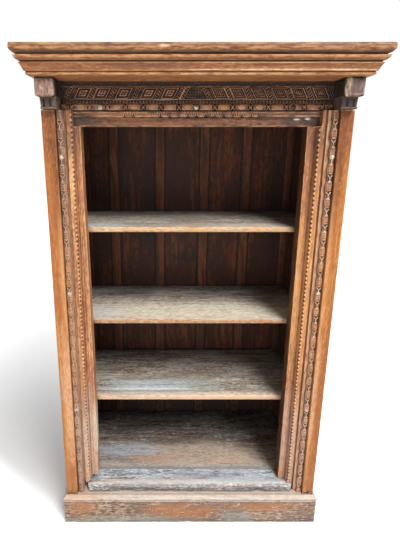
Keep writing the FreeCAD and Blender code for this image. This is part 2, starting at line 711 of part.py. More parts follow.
def frieze_board(pieces):
    rosette_top = FRIEZE_Z + ROSETTE_BAND_HEIGHT
    zigzag_top = rosette_top + ZIGZAG_BAND_HEIGHT
    lozenge_top = zigzag_top + LOZENGE_BAND_HEIGHT
    zigzag_y = LINTEL_Y + ZIGZAG_STEP
    ground_y = LINTEL_Y + LOZENGE_RELIEF
    rear_y = LINTEL_Y + FRIEZE_THICKNESS
    crown_y = LINTEL_Y - ROSETTE_BAND_PROUD
    points = [
        (rear_y, FRIEZE_Z),
        (LINTEL_Y, FRIEZE_Z),
        (LINTEL_Y, rosette_top, crown_y, FRIEZE_Z + ROSETTE_BAND_HEIGHT / 2),
        (zigzag_y, rosette_top),
        (zigzag_y, zigzag_top),
        (ground_y, zigzag_top),
        (ground_y, lozenge_top),
        (LINTEL_Y, lozenge_top),
        (LINTEL_Y, SOFFIT_Z),
        (rear_y, SOFFIT_Z),
    ]
    shape = prism_along_x(points, -POST_INNER_X, POST_INNER_X)
    ring_z = zigzag_top + (LOZENGE_BAND_HEIGHT - LOZENGE_HEIGHT) / 2
    for share in LEFT_LOZENGE_SHARES:
        shape = shape.fuse(lozenge(share * HALF_WIDTH, LOZENGE_LEAN, ring_z))
    for share in RIGHT_LOZENGE_SHARES:
        shape = shape.fuse(lozenge(share * HALF_WIDTH, -LOZENGE_LEAN, ring_z))
    for place in frieze_nail_places():
        shape = shape.cut(nail_hole(*place))
    bracket_x = HALF_WIDTH + BRACKET_PROUD - BRACKET_WIDTH
    for x_from in (-POST_INNER_X - OVERRUN, bracket_x):
        x_to = x_from + POST_INNER_X + OVERRUN - bracket_x
        behind_bracket = box(x_from, x_to, crown_y - OVERRUN, LINTEL_Y, FRIEZE_Z - OVERRUN, rosette_top)
        shape = shape.cut(behind_bracket)
    pieces["frieze_board"] = shape.removeSplitter()


# Brackets: a block over a hollow lotus neck with a lip
def bracket_block():
    high_x = HALF_WIDTH + BRACKET_PROUD
    low_x = high_x - BRACKET_WIDTH
    front_y = FACE_Y - BRACKET_PROJECTION
    low_z = SOFFIT_Z - BRACKET_BLOCK_HEIGHT
    block = box(low_x, high_x, front_y, LINTEL_Y, low_z, SOFFIT_Z)
    rounded = edges_at(block, y=front_y, z=low_z) + edges_at(block, x=high_x, z=low_z)
    rounded += edges_at(block, x=low_x, z=low_z)
    return block.makeFillet(BRACKET_BLOCK_RADIUS, rounded)


def hollow_side(neck, lip, sign):
    """One side of the lotus outline, from its foot up, as across and height."""
    low_z = SOFFIT_Z - BRACKET_BLOCK_HEIGHT
    lip_z = FRIEZE_Z + LOTUS_LIP_HEIGHT
    middle_across = neck + (lip - neck) * (1 - NECK_MIDDLE_SHARE)
    middle_z = lip_z + (low_z - lip_z) * (1 - NECK_MIDDLE_SHARE)
    foot = (lip, FRIEZE_Z)
    step = (lip, lip_z)
    hollow = (neck, low_z, middle_across, middle_z)
    head = (neck, low_z + BRACKET_BLOCK_RADIUS)
    if sign > 0:
        return [foot, step, hollow, head]
    return [head, (neck, low_z), (lip, lip_z, middle_across, middle_z), foot]


def lotus():
    """Hollow neck under the block: what the front and the side outlines have in common."""
    high_x = HALF_WIDTH + BRACKET_PROUD
    low_x = high_x - BRACKET_WIDTH
    front_y = FACE_Y - BRACKET_PROJECTION
    across = hollow_side(high_x - LOTUS_NECK_INSET, high_x - LOTUS_LIP_INSET, 1)
    across += hollow_side(low_x + LOTUS_NECK_INSET, low_x + LOTUS_LIP_INSET, -1)
    seen_from_front = prism_along_y(across, front_y, LINTEL_Y)
    neck_y = front_y + LOTUS_FRONT_INSET + LOTUS_NECK_INSET - LOTUS_LIP_INSET
    lip_y = front_y + LOTUS_FRONT_INSET
    along = hollow_side(neck_y, lip_y, -1)
    along += [(LINTEL_Y, FRIEZE_Z), (LINTEL_Y, SOFFIT_Z - BRACKET_BLOCK_HEIGHT + BRACKET_BLOCK_RADIUS)]
    seen_from_side = prism_along_x(along, low_x - OVERRUN, high_x + OVERRUN)
    return seen_from_front.common(seen_from_side)


def petal_grooves():
    """Grooves that part the petals on the lotus' front and outer side."""
    high_x = HALF_WIDTH + BRACKET_PROUD
    low_x = high_x - BRACKET_WIDTH + LOTUS_LIP_INSET
    lip_x = high_x - LOTUS_LIP_INSET
    lip_y = FACE_Y - BRACKET_PROJECTION + LOTUS_FRONT_INSET
    low_z = FRIEZE_Z + LOTUS_LIP_HEIGHT
    high_z = SOFFIT_Z - BRACKET_BLOCK_HEIGHT
    half = PETAL_GROOVE_WIDTH / 2
    reach = LOTUS_NECK_INSET - LOTUS_LIP_INSET + PETAL_GROOVE_DEPTH
    pitch = (lip_x - low_x) / PETAL_COUNT
    grooves = []
    for index in range(1, PETAL_COUNT):
        x = low_x + index * pitch
        front = [(x - half, lip_y - OVERRUN), (x + half, lip_y - OVERRUN), (x, lip_y + reach)]
        grooves.append(prism_along_z(front, low_z, high_z))
        y = lip_y + index * pitch
        side = [(lip_x + OVERRUN, y - half), (lip_x + OVERRUN, y + half), (lip_x - reach, y)]
        grooves.append(prism_along_z(side, low_z, high_z))
    return Part.makeCompound(grooves)


def brackets(pieces):
    shape = bracket_block().fuse(lotus().cut(petal_grooves())).removeSplitter()
    pieces["bracket_left"] = mirrored(shape)
    front_y = FACE_Y - BRACKET_PROJECTION
    inner_x = HALF_WIDTH + BRACKET_PROUD - BRACKET_WIDTH
    splinter = [
        (inner_x - OVERRUN, front_y - OVERRUN),
        (inner_x + SPLINTER_WIDTH, front_y - OVERRUN),
        (inner_x + SPLINTER_WIDTH, front_y),
        (inner_x, front_y + SPLINTER_DEPTH),
        (inner_x - OVERRUN, front_y + SPLINTER_DEPTH),
    ]
    broken = prism_along_z(splinter, FRIEZE_Z, SOFFIT_Z - BRACKET_BLOCK_RADIUS)
    pieces["bracket_right"] = shape.cut(broken)


# Cornice moulding, soffit and the boarded top
def cornice_section():
    points = [(0, SOFFIT_Z)]
    for shares in CORNICE_OUTLINE_SHARES:
        out = shares[0] * CORNICE_PROJECTION
        height = SOFFIT_Z + shares[1] * CORNICE_HEIGHT
        if len(shares) == 4:
            middle_out = shares[2] * CORNICE_PROJECTION
            middle_height = SOFFIT_Z + shares[3] * CORNICE_HEIGHT
            points.append((out, height, middle_out, middle_height))
        else:
            points.append((out, height))
    points.append((0, TOP_BOARD_Z))
    return points


def cornice(pieces):
    section = cornice_section()
    plane_y = FACE_Y - BRACKET_PROJECTION
    pieces["cornice_front"] = front_run(section, HALF_WIDTH, plane_y, CORNICE_PROJECTION, 0)
    side = side_run(section, HALF_WIDTH, plane_y, CORNICE_PROJECTION, 0, REAR_Y)
    both_sides("cornice_side", side, pieces)


def top_support(pieces):
    front_y = FACE_Y - BRACKET_PROJECTION
    soffit_top = SOFFIT_Z + SOFFIT_THICKNESS
    pieces["soffit_board"] = box(-HALF_WIDTH, HALF_WIDTH, front_y, LINTEL_Y, SOFFIT_Z, soffit_top)
    bearer_y = front_y + FRONT_BEARER_THICKNESS
    bearers = [box(-HALF_WIDTH, HALF_WIDTH, front_y, bearer_y, soffit_top, TOP_BOARD_Z)]
    half = TOP_BEARER_WIDTH / 2
    for x in (-HALF_WIDTH + half, 0, HALF_WIDTH - half):
        bearers.append(box(x - half, x + half, LINTEL_Y, BACK_Y, SOFFIT_Z, TOP_BOARD_Z))
    pieces["top_bearers"] = Part.makeCompound(bearers)


def top_board(y_from, y_to, rounds_front):
    reach = HALF_WIDTH + TOP_BOARD_OVERHANG
    board = box(-reach, reach, y_from, y_to, TOP_BOARD_Z, TOP_Z)
    edges = edges_at(board, x=-reach, z=TOP_BOARD_Z) + edges_at(board, x=reach, z=TOP_BOARD_Z)
    if rounds_front:
        edges += edges_at(board, y=y_from, z=TOP_BOARD_Z)
    return board.makeFillet(TOP_BOARD_NOSE_RADIUS, edges)


def top_boards(pieces):
    front_y = FACE_Y - BRACKET_PROJECTION - TOP_BOARD_OVERHANG
    first_seam = front_y + TOP_FRONT_BOARD_WIDTH
    second_seam = first_seam + TOP_MIDDLE_BOARD_WIDTH
    pieces["top_board_front"] = top_board(front_y, first_seam, True)
    pieces["top_board_middle"] = top_board(first_seam, second_seam, False)
    pieces["top_board_rear"] = top_board(second_seam, REAR_Y, False)


# Shelves of two boards each, on cleats
def shelf_levels():
    """Label, top and front board width of each shelf."""
    return (
        ("lower", DECK_Z + LOWER_SHELF_RISE, LOWER_SHELF_FRONT_BOARD),
        ("middle", DECK_Z + MIDDLE_SHELF_RISE, MIDDLE_SHELF_FRONT_BOARD),
        ("upper", DECK_Z + UPPER_SHELF_RISE, UPPER_SHELF_FRONT_BOARD),
    )


def shelves(pieces):
    for label, top, front_width in shelf_levels():
        low = top - SHELF_THICKNESS
        seam_y = SHELF_Y + front_width
        front = box(-SHELF_X, SHELF_X, SHELF_Y, seam_y, low, top)
        nose = edges_at(front, y=SHELF_Y, z=low) + edges_at(front, y=SHELF_Y, z=top)
        pieces["shelf_" + label + "_front_board"] = front.makeFillet(SHELF_NOSE_RADIUS, nose)
        pieces["shelf_" + label + "_rear_board"] = box(-SHELF_X, SHELF_X, seam_y, STRIP_Y, low, top)


def shelf_cleats(pieces):
    cleats = []
    side_end_y = STRIP_Y - CLEAT_WIDTH
    for level in shelf_levels():
        high = level[1] - SHELF_THICKNESS
        low = high - CLEAT_HEIGHT
        for x_from in (-WALL_X, WALL_X - CLEAT_WIDTH):
            front_y = SHELF_Y + CLEAT_END_GAP
            cleats.append(box(x_from, x_from + CLEAT_WIDTH, front_y, side_end_y, low, high))
        cleats.append(box(-WALL_X, WALL_X, side_end_y, STRIP_Y, low, high))
    pieces["shelf_cleats"] = Part.makeCompound(cleats)


# Boarded back with strips over its seams
def back(pieces):
    seams = [share * HALF_WIDTH for share in BACK_SEAM_SHARES]
    limits = [-HALF_WIDTH] + seams + [HALF_WIDTH]
    for index in range(len(limits) - 1):
        board = box(limits[index], limits[index + 1], BACK_Y, REAR_Y, BASE_Z, TOP_BOARD_Z)
        pieces["back_board_" + str(index + 1)] = board
    rail_z = SOFFIT_Z - BACK_RAIL_HEIGHT
    half = COVER_STRIP_WIDTH / 2
    strips = [box(seam - half, seam + half, STRIP_Y, BACK_Y, DECK_Z, rail_z) for seam in seams]
    pieces["cover_strips"] = Part.makeCompound(strips)
    corner_x = WALL_X - CORNER_STRIP_WIDTH
    corner = box(corner_x, WALL_X, STRIP_Y, BACK_Y, DECK_Z, rail_z)
    both_sides("corner_strip", corner, pieces)
    rail_y = BACK_Y - BACK_RAIL_THICKNESS
    pieces["back_top_rail"] = box(-WALL_X, WALL_X, rail_y, BACK_Y, rail_z, SOFFIT_Z)


def build():
    pieces = {}
    plinth_boards(pieces)
    plinth_cap(pieces)
    deck(pieces)
    threshold(pieces)
    posts(pieces)
    side_frame(pieces)
    jambs(pieces)
    rolls(pieces)
    domed_nails(pieces)
    lintel_rail(pieces)
    frieze_board(pieces)
    brackets(pieces)
    cornice(pieces)
    top_support(pieces)
    top_boards(pieces)
    shelves(pieces)
    shelf_cleats(pieces)
    back(pieces)
    return pieces


def main():
    os.makedirs("parts", exist_ok=True)
    pieces = build()
    for name, shape in sorted(pieces.items()):
        if not shape.isValid() or shape.Volume <= 0:
            raise ValueError(name + " is not a sound solid")
        shape.exportStep("parts/" + name + ".step")
    print(len(pieces), "nodes", sum(len(shape.Solids) for shape in pieces.values()), "solids")


main()
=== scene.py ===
"""An open bookcase made around the carved surround of an old doorway.

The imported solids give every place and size. Each class below dresses one sub-assembly
with worn, carved timber or with forged iron. Lengths are in millimetres until a skin is
made, and colours are written as they look on the finished piece.
"""

import itertools
import logging
import math
from dataclasses import dataclass, field, replace
from enum import Enum
from functools import cache
from typing import Sequence

import bpy
import numpy as np
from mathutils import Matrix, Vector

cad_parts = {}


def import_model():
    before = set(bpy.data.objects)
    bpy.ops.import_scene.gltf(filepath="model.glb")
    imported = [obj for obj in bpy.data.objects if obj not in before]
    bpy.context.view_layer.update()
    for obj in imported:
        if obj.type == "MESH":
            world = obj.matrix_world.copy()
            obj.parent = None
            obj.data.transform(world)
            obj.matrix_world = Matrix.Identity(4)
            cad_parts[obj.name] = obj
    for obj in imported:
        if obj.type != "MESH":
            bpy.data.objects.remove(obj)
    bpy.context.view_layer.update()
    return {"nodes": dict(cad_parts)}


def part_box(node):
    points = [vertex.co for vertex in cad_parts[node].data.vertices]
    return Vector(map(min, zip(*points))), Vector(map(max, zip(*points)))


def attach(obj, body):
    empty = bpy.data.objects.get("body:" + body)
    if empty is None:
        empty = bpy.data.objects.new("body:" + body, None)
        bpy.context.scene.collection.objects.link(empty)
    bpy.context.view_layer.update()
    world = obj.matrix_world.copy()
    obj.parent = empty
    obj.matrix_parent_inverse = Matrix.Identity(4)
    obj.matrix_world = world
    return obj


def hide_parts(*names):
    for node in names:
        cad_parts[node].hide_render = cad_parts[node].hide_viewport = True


LOG = logging.getLogger("bookcase")
MILLIMETRE = 0.001
Colour = tuple[int, int, int]
Place = Sequence[float]
Socket = bpy.types.NodeSocket
ORIGIN = (0.0, 0.0, 0.0)
WHITE = (1.0, 1.0, 1.0, 1.0)


class Axis(Enum):
    """Direction that a board runs in, and so its grain."""

    ACROSS = 0
    DEPTH = 1
    UPRIGHT = 2


class Side(Enum):
    """Side of the bookcase, seen from its front."""

    LEFT = -1
    RIGHT = 1


# Places and noise


def box_of(node: str) -> tuple[np.ndarray, np.ndarray]:
    """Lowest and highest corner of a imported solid, in millimetres."""
    low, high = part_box(node)
    return np.array(low) / MILLIMETRE, np.array(high) / MILLIMETRE


def hashed(cells: np.ndarray, seed: int) -> np.ndarray:
    """Repeatable scatter for the corners of a lattice.

    Args:
        cells: Whole numbers, three to a corner.
        seed: Chooses another scatter.

    Returns:
        One value from 0 to 1 for each corner.
    """
    whole = cells.astype(np.int64)
    mixed = whole[..., 0] * 73856093 ^ whole[..., 1] * 19349663 ^ whole[..., 2] * 83492791
    mixed = (mixed ^ seed * 40503) & 0xFFFFFFFF
    for shift, factor in ((15, 22468225), (13, 32664899)):
        mixed = ((mixed ^ (mixed >> shift)) * factor) & 0xFFFFFFFF
    return ((mixed ^ (mixed >> 16)) & 0xFFFF) / 0xFFFF


def noise(points: np.ndarray, cell: Sequence[float], seed: int, octaves: int = 3) -> np.ndarray:
    """Smooth repeatable noise over a set of points.

    Args:
        points: Places in millimetres, three numbers each.
        cell: Size of the largest swellings along x, y and z.
        seed: Chooses another pattern.
        octaves: How many finer layers are added.

    Returns:
        One value from about -1 to 1 for each point.
    """
    total = np.zeros(points.shape[:-1])
    for octave in range(octaves):
        scaled = points * 2**octave / np.asarray(cell, float) + seed * 0.37
        base = np.floor(scaled)
        share = scaled - base
        share = share * share * (3 - 2 * share)
        layer = np.zeros(total.shape)
        for corner in itertools.product((0, 1), repeat=3):
            weight = np.prod(np.where(corner, share, 1 - share), axis=-1)
            layer += weight * hashed(base + corner, seed + octave)
        total += (2 * layer - 1) / 2**octave
    return total / 1.4


def soft_step(value: np.ndarray, start: float, end: float) -> np.ndarray:
    """Ease from 0 at the start to 1 at the end, which may lie below the start."""
    share = np.clip((value - start) / (end - start), 0, 1)
    return share * share * (3 - 2 * share)


def stroke(distance: np.ndarray, half_width: float, soft: float = 1.0) -> np.ndarray:
    """Soft-edged line of a carving: 1 near its middle and 0 beyond half of its width."""
    return np.clip((half_width - np.abs(distance)) / soft + 0.5, 0, 1)


# Outlines and lofts. A lattice is an array of rings, their points and the points' coordinates.


def rounded_outline(corners: Sequence[tuple[float, float, float]], spacing: float) -> np.ndarray:
    """Closed outline at an even spacing.

    Args:
        corners: Two coordinates and a radius for each corner, in order.
        spacing: Wanted distance between points.

    Returns:
        The outline's points, two numbers each.
    """
    places = np.array([corner[:2] for corner in corners], float)
    bends = []
    for index, corner in enumerate(corners):
        place = places[index]
        before = places[index - 1] - place
        after = places[(index + 1) % len(corners)] - place
        reach = min(corner[2], 0.48 * np.hypot(*before), 0.48 * np.hypot(*after))
        if reach <= 0:
            bends.append(place[None, :])
            continue
        start = place + before / np.hypot(*before) * reach
        end = place + after / np.hypot(*after) * reach
        share = np.linspace(0, 1, max(4, int(1.6 * reach / spacing) + 2))[:, None]
        bends.append((1 - share) ** 2 * start + 2 * share * (1 - share) * place + share**2 * end)
    points = []
    for index, bend in enumerate(bends):
        following = bends[(index + 1) % len(bends)][0]
        points.extend(bend)
        count = int(round(np.hypot(*(following - bend[-1])) / spacing))
        for step in range(1, count):
            points.append(bend[-1] + (following - bend[-1]) * step / count)
    return np.array(points)


def stations(start: float, end: float, step: float, nose: float = 0.0) -> tuple[np.ndarray, np.ndarray]:
    """Places of the rings along a run whose two ends are rounded.

    Args:
        start: Where the run begins.
        end: Where it ends.
        step: Wanted distance between rings.
        nose: Radius of the rounded ends.

    Returns:
        The places, and how far each ring draws in.
    """
    if nose <= 0:
        places = np.linspace(start, end, max(2, int(round((end - start) / step)) + 1))
        return places, np.zeros(len(places))
    angles = np.radians((0, 25, 50, 70))
    ends = nose * (1 - np.cos(angles))
    middle = np.linspace(start + nose, end - nose, max(2, int(round((end - start) / step))))
    places = np.concatenate([start + ends, middle, (end - ends)[::-1]])
    drawn = nose * (1 - np.sin(angles))
    return places, np.concatenate([drawn, np.zeros(len(middle)), drawn[::-1]])


def board_lattice(low: np.ndarray, high: np.ndarray, axis: Axis, arris: float, step: float) -> np.ndarray:
    """Rings of a board with rounded arrises and ends.

    Args:
        low: Lowest corner.
        high: Highest corner.
        axis: Direction that the board runs in.
        arris: Radius of its arrises.
        step: Distance between rings and between their points.

    Returns:
        The lattice.
    """
    run = axis.value
    first, second = [index for index in range(3) if index != run]
    corners = [
        (low[first], low[second], arris), (high[first], low[second], arris), (high[first], high[second], arris),
        (low[first], high[second], arris),
    ]
    outline = rounded_outline(corners, step)
    places, drawn = stations(low[run], high[run], step, arris)
    lattice = np.zeros((len(places), len(outline), 3))
    lattice[..., run] = places[:, None]
    for column, index in enumerate((first, second)):
        inner_low = low[index] + drawn[:, None]
        inner_high = high[index] - drawn[:, None]
        lattice[..., index] = np.clip(outline[None, :, column], inner_low, inner_high)
    return lattice


def swept_lattice(outline: np.ndarray, places: np.ndarray, axis: Axis) -> np.ndarray:
    """Rings of a piece with one section along an axis.

    Args:
        outline: Section points, two numbers each.
        places: Where each ring stands along the axis.
        axis: Direction that the piece runs in.

    Returns:
        The lattice.
    """
    lattice = np.zeros((len(places), len(outline), 3))
    lattice[..., axis.value] = places[:, None]
    lattice[..., [index for index in range(3) if index != axis.value]] = outline
    return lattice


def volume_of(lattice: np.ndarray) -> float:
    """Signed volume inside the rings, which tells how they are wound.

    Args:
        lattice: The lattice.

    Returns:
        The volume, negative where the skin is inside out.
    """
    middle = lattice.mean(axis=(0, 1))
    here = lattice[:-1] - middle
    above = lattice[1:] - middle
    beside = np.roll(here, -1, axis=1)
    corner = np.roll(above, -1, axis=1)
    total = np.sum(here * np.cross(beside, corner)) + np.sum(here * np.cross(corner, above))
    return float(total)


def normals_of(lattice: np.ndarray) -> np.ndarray:
    """Outward direction at every point.

    Args:
        lattice: The lattice.

    Returns:
        Unit directions, shaped as the lattice.
    """
    along = np.gradient(lattice, axis=0)
    around = np.roll(lattice, -1, axis=1) - np.roll(lattice, 1, axis=1)
    normal = np.cross(around, along)
    normal /= np.maximum(np.linalg.norm(normal, axis=-1, keepdims=True), 1e-9)
    return normal if volume_of(lattice) > 0 else -normal


def relief_of(lattice: np.ndarray, reach: float) -> np.ndarray:
    """How far each point stands over its surroundings.

    Args:
        lattice: The lattice.
        reach: Distance that counts as surroundings.

    Returns:
        Millimetres, positive on arrises and negative in recesses.
    """
    pitch = np.median(np.linalg.norm(np.diff(lattice, axis=0), axis=-1))
    gaps = np.linalg.norm(np.roll(lattice, -1, axis=1) - lattice, axis=-1)
    around = int(np.clip(round(reach / max(np.median(gaps), 0.1)), 1, 6))
    along = int(np.clip(round(reach / max(pitch, 0.1)), 1, 6))
    calm = sum(np.roll(lattice, shift, axis=1) for shift in range(-around, around + 1)) / (2 * around + 1)
    padded = np.pad(calm, ((along, along), (0, 0), (0, 0)), mode="edge")
    count = len(lattice)
    calm = sum(padded[shift : shift + count] for shift in range(2 * along + 1)) / (2 * along + 1)
    return np.sum((lattice - calm) * normals_of(lattice), axis=-1)


def weathered(lattice: np.ndarray, seed: int, chips: float, sway: float = 0.3) -> np.ndarray:
    """Chip the arrises and let the faces wander, always inwards.

    Args:
        lattice: The lattice.
        seed: Chooses another wear.
        chips: Depth of the deepest chips.
        sway: Depth of the slow unevenness of the faces.

    Returns:
        The worn lattice.
    """
    arris = np.clip(relief_of(lattice, 5.0), 0, 1)
    bites = np.clip(noise(lattice, (34, 34, 34), seed) - 0.15, 0, 1)
    bruises = np.clip(noise(lattice, (9, 9, 9), seed + 7, 2), 0, 1)
    slow = 0.5 + 0.5 * noise(lattice, (90, 90, 90), seed + 13, 2)
    depth = chips * arris * (1.3 * bites + 0.35 * bruises) + sway * slow
    return lattice - normals_of(lattice) * depth[..., None]


@dataclass
class Skin:
    """Closed lofts of one piece, with what its finish needs to know of each point."""

    name: str
    seed: int = 0
    lattices: list[np.ndarray] = field(default_factory=list)
    marks: list[dict[str, np.ndarray]] = field(default_factory=list)

    def add(self, lattice: np.ndarray, **marks: np.ndarray) -> "Skin":
        """Take in one more loft.

        Args:
            lattice: Rings, points and coordinates in millimetres.
            **marks: Shares of raw wood, second tone, painted shade or shelter from rubbing at each point.

        Returns:
            This skin.
        """
        self.lattices.append(lattice)
        self.marks.append(marks)
        return self

    def mark(self, name: str) -> np.ndarray:
        """Collect one mark over all the lofts, 0 where a loft has none."""
        pairs = zip(self.lattices, self.marks)
        return np.concatenate([marks.get(name, np.zeros(lattice.shape[:2])).ravel() for lattice, marks in pairs])

    def faces(self, lattice: np.ndarray, first: int) -> list[list[int]]:
        """Faces between the rings and over both ends.

        Args:
            lattice: The lattice.
            first: Number of the lattice's first point.

        Returns:
            Point numbers of each face.
        """
        rings, points = lattice.shape[:2]
        numbers = first + np.arange(rings * points).reshape(rings, points)
        beside = np.roll(numbers, -1, axis=1)
        quads = np.stack([numbers[:-1], beside[:-1], beside[1:], numbers[1:]], axis=-1).reshape(-1, 4)
        ends = [numbers[0][::-1], numbers[-1]]
        if volume_of(lattice) < 0:
            quads = quads[:, ::-1]
            ends = [end[::-1] for end in ends]
        return quads.tolist() + [end.tolist() for end in ends]

    def dress(self, finish: "Timber | Iron", axis: Axis, nodes: Sequence[str]) -> bpy.types.Object:
        """Make the mesh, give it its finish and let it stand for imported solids.

        Args:
            finish: What the piece is made of.
            axis: Direction of the grain.
            nodes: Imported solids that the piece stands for.

        Returns:
            The finished object.
        """
        faces = []
        count = 0
        for lattice in self.lattices:
            faces += self.faces(lattice, count)
            count += lattice.shape[0] * lattice.shape[1]
        points = np.concatenate([lattice.reshape(-1, 3) for lattice in self.lattices])
        low, high = (np.array(corner) for corner in zip(*[box_of(node) for node in nodes]))
        points = np.clip(points, low.min(axis=0), high.max(axis=0))
        mesh = bpy.data.meshes.new(self.name)
        mesh.from_pydata((points * MILLIMETRE).tolist(), [], faces)
        relief = np.concatenate([relief_of(lattice, 4.0).ravel() for lattice in self.lattices])
        indoors = (np.abs(points[:, 0]) < INDOORS_X) & (points[:, 1] > INDOORS_Y) & (points[:, 2] < INDOORS_Z)
        layers = {
            "worn": np.clip(relief / 0.7 - self.mark("sheltered"), 0, 1) * np.where(indoors, 0.4, 1),
            # Darker in recesses, with the painted shade of the shade mark added.
            "recess": np.clip(np.clip(-relief / 0.7, 0, 1) + self.mark("shade"), 0, 1),
            "raw": self.mark("raw"),
            "tone": self.mark("tone"),
            "indoors": indoors,
            "board": np.full(len(points), float(self.seed)),
        }
        for name, values in layers.items():
            mesh.attributes.new(name, "FLOAT", "POINT").data.foreach_set("value", values.astype(np.float32))
        mesh.shade_smooth()
        mesh.set_sharp_from_angle(angle=math.radians(38))
        mesh.materials.append(finish.material(axis))
        piece = bpy.data.objects.new(self.name, mesh)
        bpy.context.scene.collection.objects.link(piece)
        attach(piece, "root")
        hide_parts(*nodes)
        LOG.info("%s: %d points", self.name, len(points))
        return piece


# Bounds of the inside, which gets painted shade, in millimetres
INDOORS_X = 479.0
INDOORS_Y = -110.0
INDOORS_Z = 1722.0


# Shader node groups


def linear(colour: Colour) -> tuple[float, ...]:
    """Turn a colour from 0 to 255, as it looks, into one that a shader takes."""
    shares = (value / 255 for value in colour)
    return (*(share / 12.92 if share <= 0.04045 else ((share + 0.055) / 1.055) ** 2.4 for share in shares), 1.0)


class Wiring:
    """Short ways to add and join the nodes of one tree."""

    def __init__(self, tree: bpy.types.NodeTree) -> None:
        """Keep the tree that gets the nodes."""
        self.tree = tree

    def feed(self, socket: Socket, value: object) -> None:
        """Link or set one input.

        Args:
            socket: The input.
            value: Another node's output, a plain value, or None to leave the input alone.
        """
        if isinstance(value, bpy.types.NodeSocket):
            self.tree.links.new(value, socket)
        elif value is not None:
            socket.default_value = value

    def add(self, kind: str, inputs: dict | None = None, **settings: object) -> bpy.types.Node:
        """Add a node.

        Args:
            kind: Blender's name of the node's type, without ShaderNode.
            inputs: What to feed each input, by its name or number.
            **settings: Properties to set on it.

        Returns:
            The node.
        """
        node = self.tree.nodes.new("ShaderNode" + kind)
        for name, value in settings.items():
            setattr(node, name, value)
        for key, value in (inputs or {}).items():
            self.feed(node.inputs[key], value)
        return node

    def attribute(self, name: str) -> Socket:
        """Read one mark of the mesh."""
        return self.add("Attribute", attribute_name=name).outputs["Fac"]

    def maths(self, operation: str, first: object, second: object = None, third: object = None) -> Socket:
        """Do one sum with up to three operands."""
        return self.add("Math", {0: first, 1: second, 2: third}, operation=operation).outputs[0]

    def share(self, first: object, second: object) -> Socket:
        """Multiply, and keep the result between 0 and 1."""
        return self.add("Math", {0: first, 1: second}, operation="MULTIPLY", use_clamp=True).outputs[0]

    def between(self, value: object, start: float, end: float) -> Socket:
        """Share of the way from a start to an end, eased and kept between 0 and 1."""
        return self.add("MapRange", {0: value, 1: start, 2: end}, interpolation_type="SMOOTHSTEP").outputs[0]

    def vector(self, operation: str, first: object, second: object) -> Socket:
        """Do one sum of vectors."""
        return self.add("VectorMath", {0: first, 1: second}, operation=operation).outputs[0]

    def measure(self, operation: str, first: object, second: object = None) -> Socket:
        """Do one sum of vectors that gives a number, such as a length."""
        return self.add("VectorMath", {0: first, 1: second}, operation=operation).outputs["Value"]

    def stretch(self, vector: object, scale: Sequence[float], shift: object = None) -> Socket:
        """Shift a vector, where a shift is given, and then scale it."""
        shifted = vector if shift is None else self.vector("ADD", vector, shift)
        return self.vector("MULTIPLY", shifted, scale)

    def cloud(self, vector: object, scale: object, detail: float = 3.0, distortion: float = 0.0) -> Socket:
        """Soft noise from about 0.3 to 0.7.

        Args:
            vector: Where to look.
            scale: How often it swells to the unit, as one number or as three along the axes.
            detail: How many finer layers it has.
            distortion: How far it is twisted.

        Returns:
            The noise.
        """
        if isinstance(scale, tuple):
            vector, scale = self.stretch(vector, scale), 1.0
        looks = {"Vector": vector, "Scale": scale, "Detail": detail, "Distortion": distortion}
        return self.add("TexNoise", looks).outputs[0]

    def blend(self, share: object, first: object, second: object) -> Socket:
        """Mix two colours by the share of the second one."""
        return self.add("Mix", {0: share, 6: first, 7: second}, data_type="RGBA").outputs[2]

    def group(self, tree: bpy.types.NodeTree, **inputs: object) -> bpy.types.Node:
        """Place a shared group and feed each of its inputs."""
        return self.add("Group", inputs, node_tree=tree)


def bare(block: bpy.types.Material | bpy.types.World) -> Wiring:
    """Clear the nodes of a material or world.

    Args:
        block: The material or world.

    Returns:
        The wiring for its new nodes.
    """
    block.use_nodes = True
    block.node_tree.nodes.clear()
    return Wiring(block.node_tree)


SOCKETS = {"f": "NodeSocketFloat", "v": "NodeSocketVector", "c": "NodeSocketColor"}


def shared_group(name: str, inputs: Sequence[str], outputs: Sequence[str]) -> tuple[Wiring, dict, dict]:
    """Start a shader node group.

    Args:
        name: The group's name.
        inputs: Each input's name with its type's letter before it.
        outputs: Each output's name with its type's letter before it.

    Returns:
        The wiring, the inputs by name and the outputs by name.
    """
    tree = bpy.data.node_groups.new(name, "ShaderNodeTree")
    for way, entries in (("INPUT", inputs), ("OUTPUT", outputs)):
        for entry in entries:
            tree.interface.new_socket(entry[2:], in_out=way, socket_type=SOCKETS[entry[0]])
    start = tree.nodes.new("NodeGroupInput")
    end = tree.nodes.new("NodeGroupOutput")
    into = {entry[2:]: start.outputs[entry[2:]] for entry in inputs}
    out = {entry[2:]: end.inputs[entry[2:]] for entry in outputs}
    return Wiring(tree), into, out


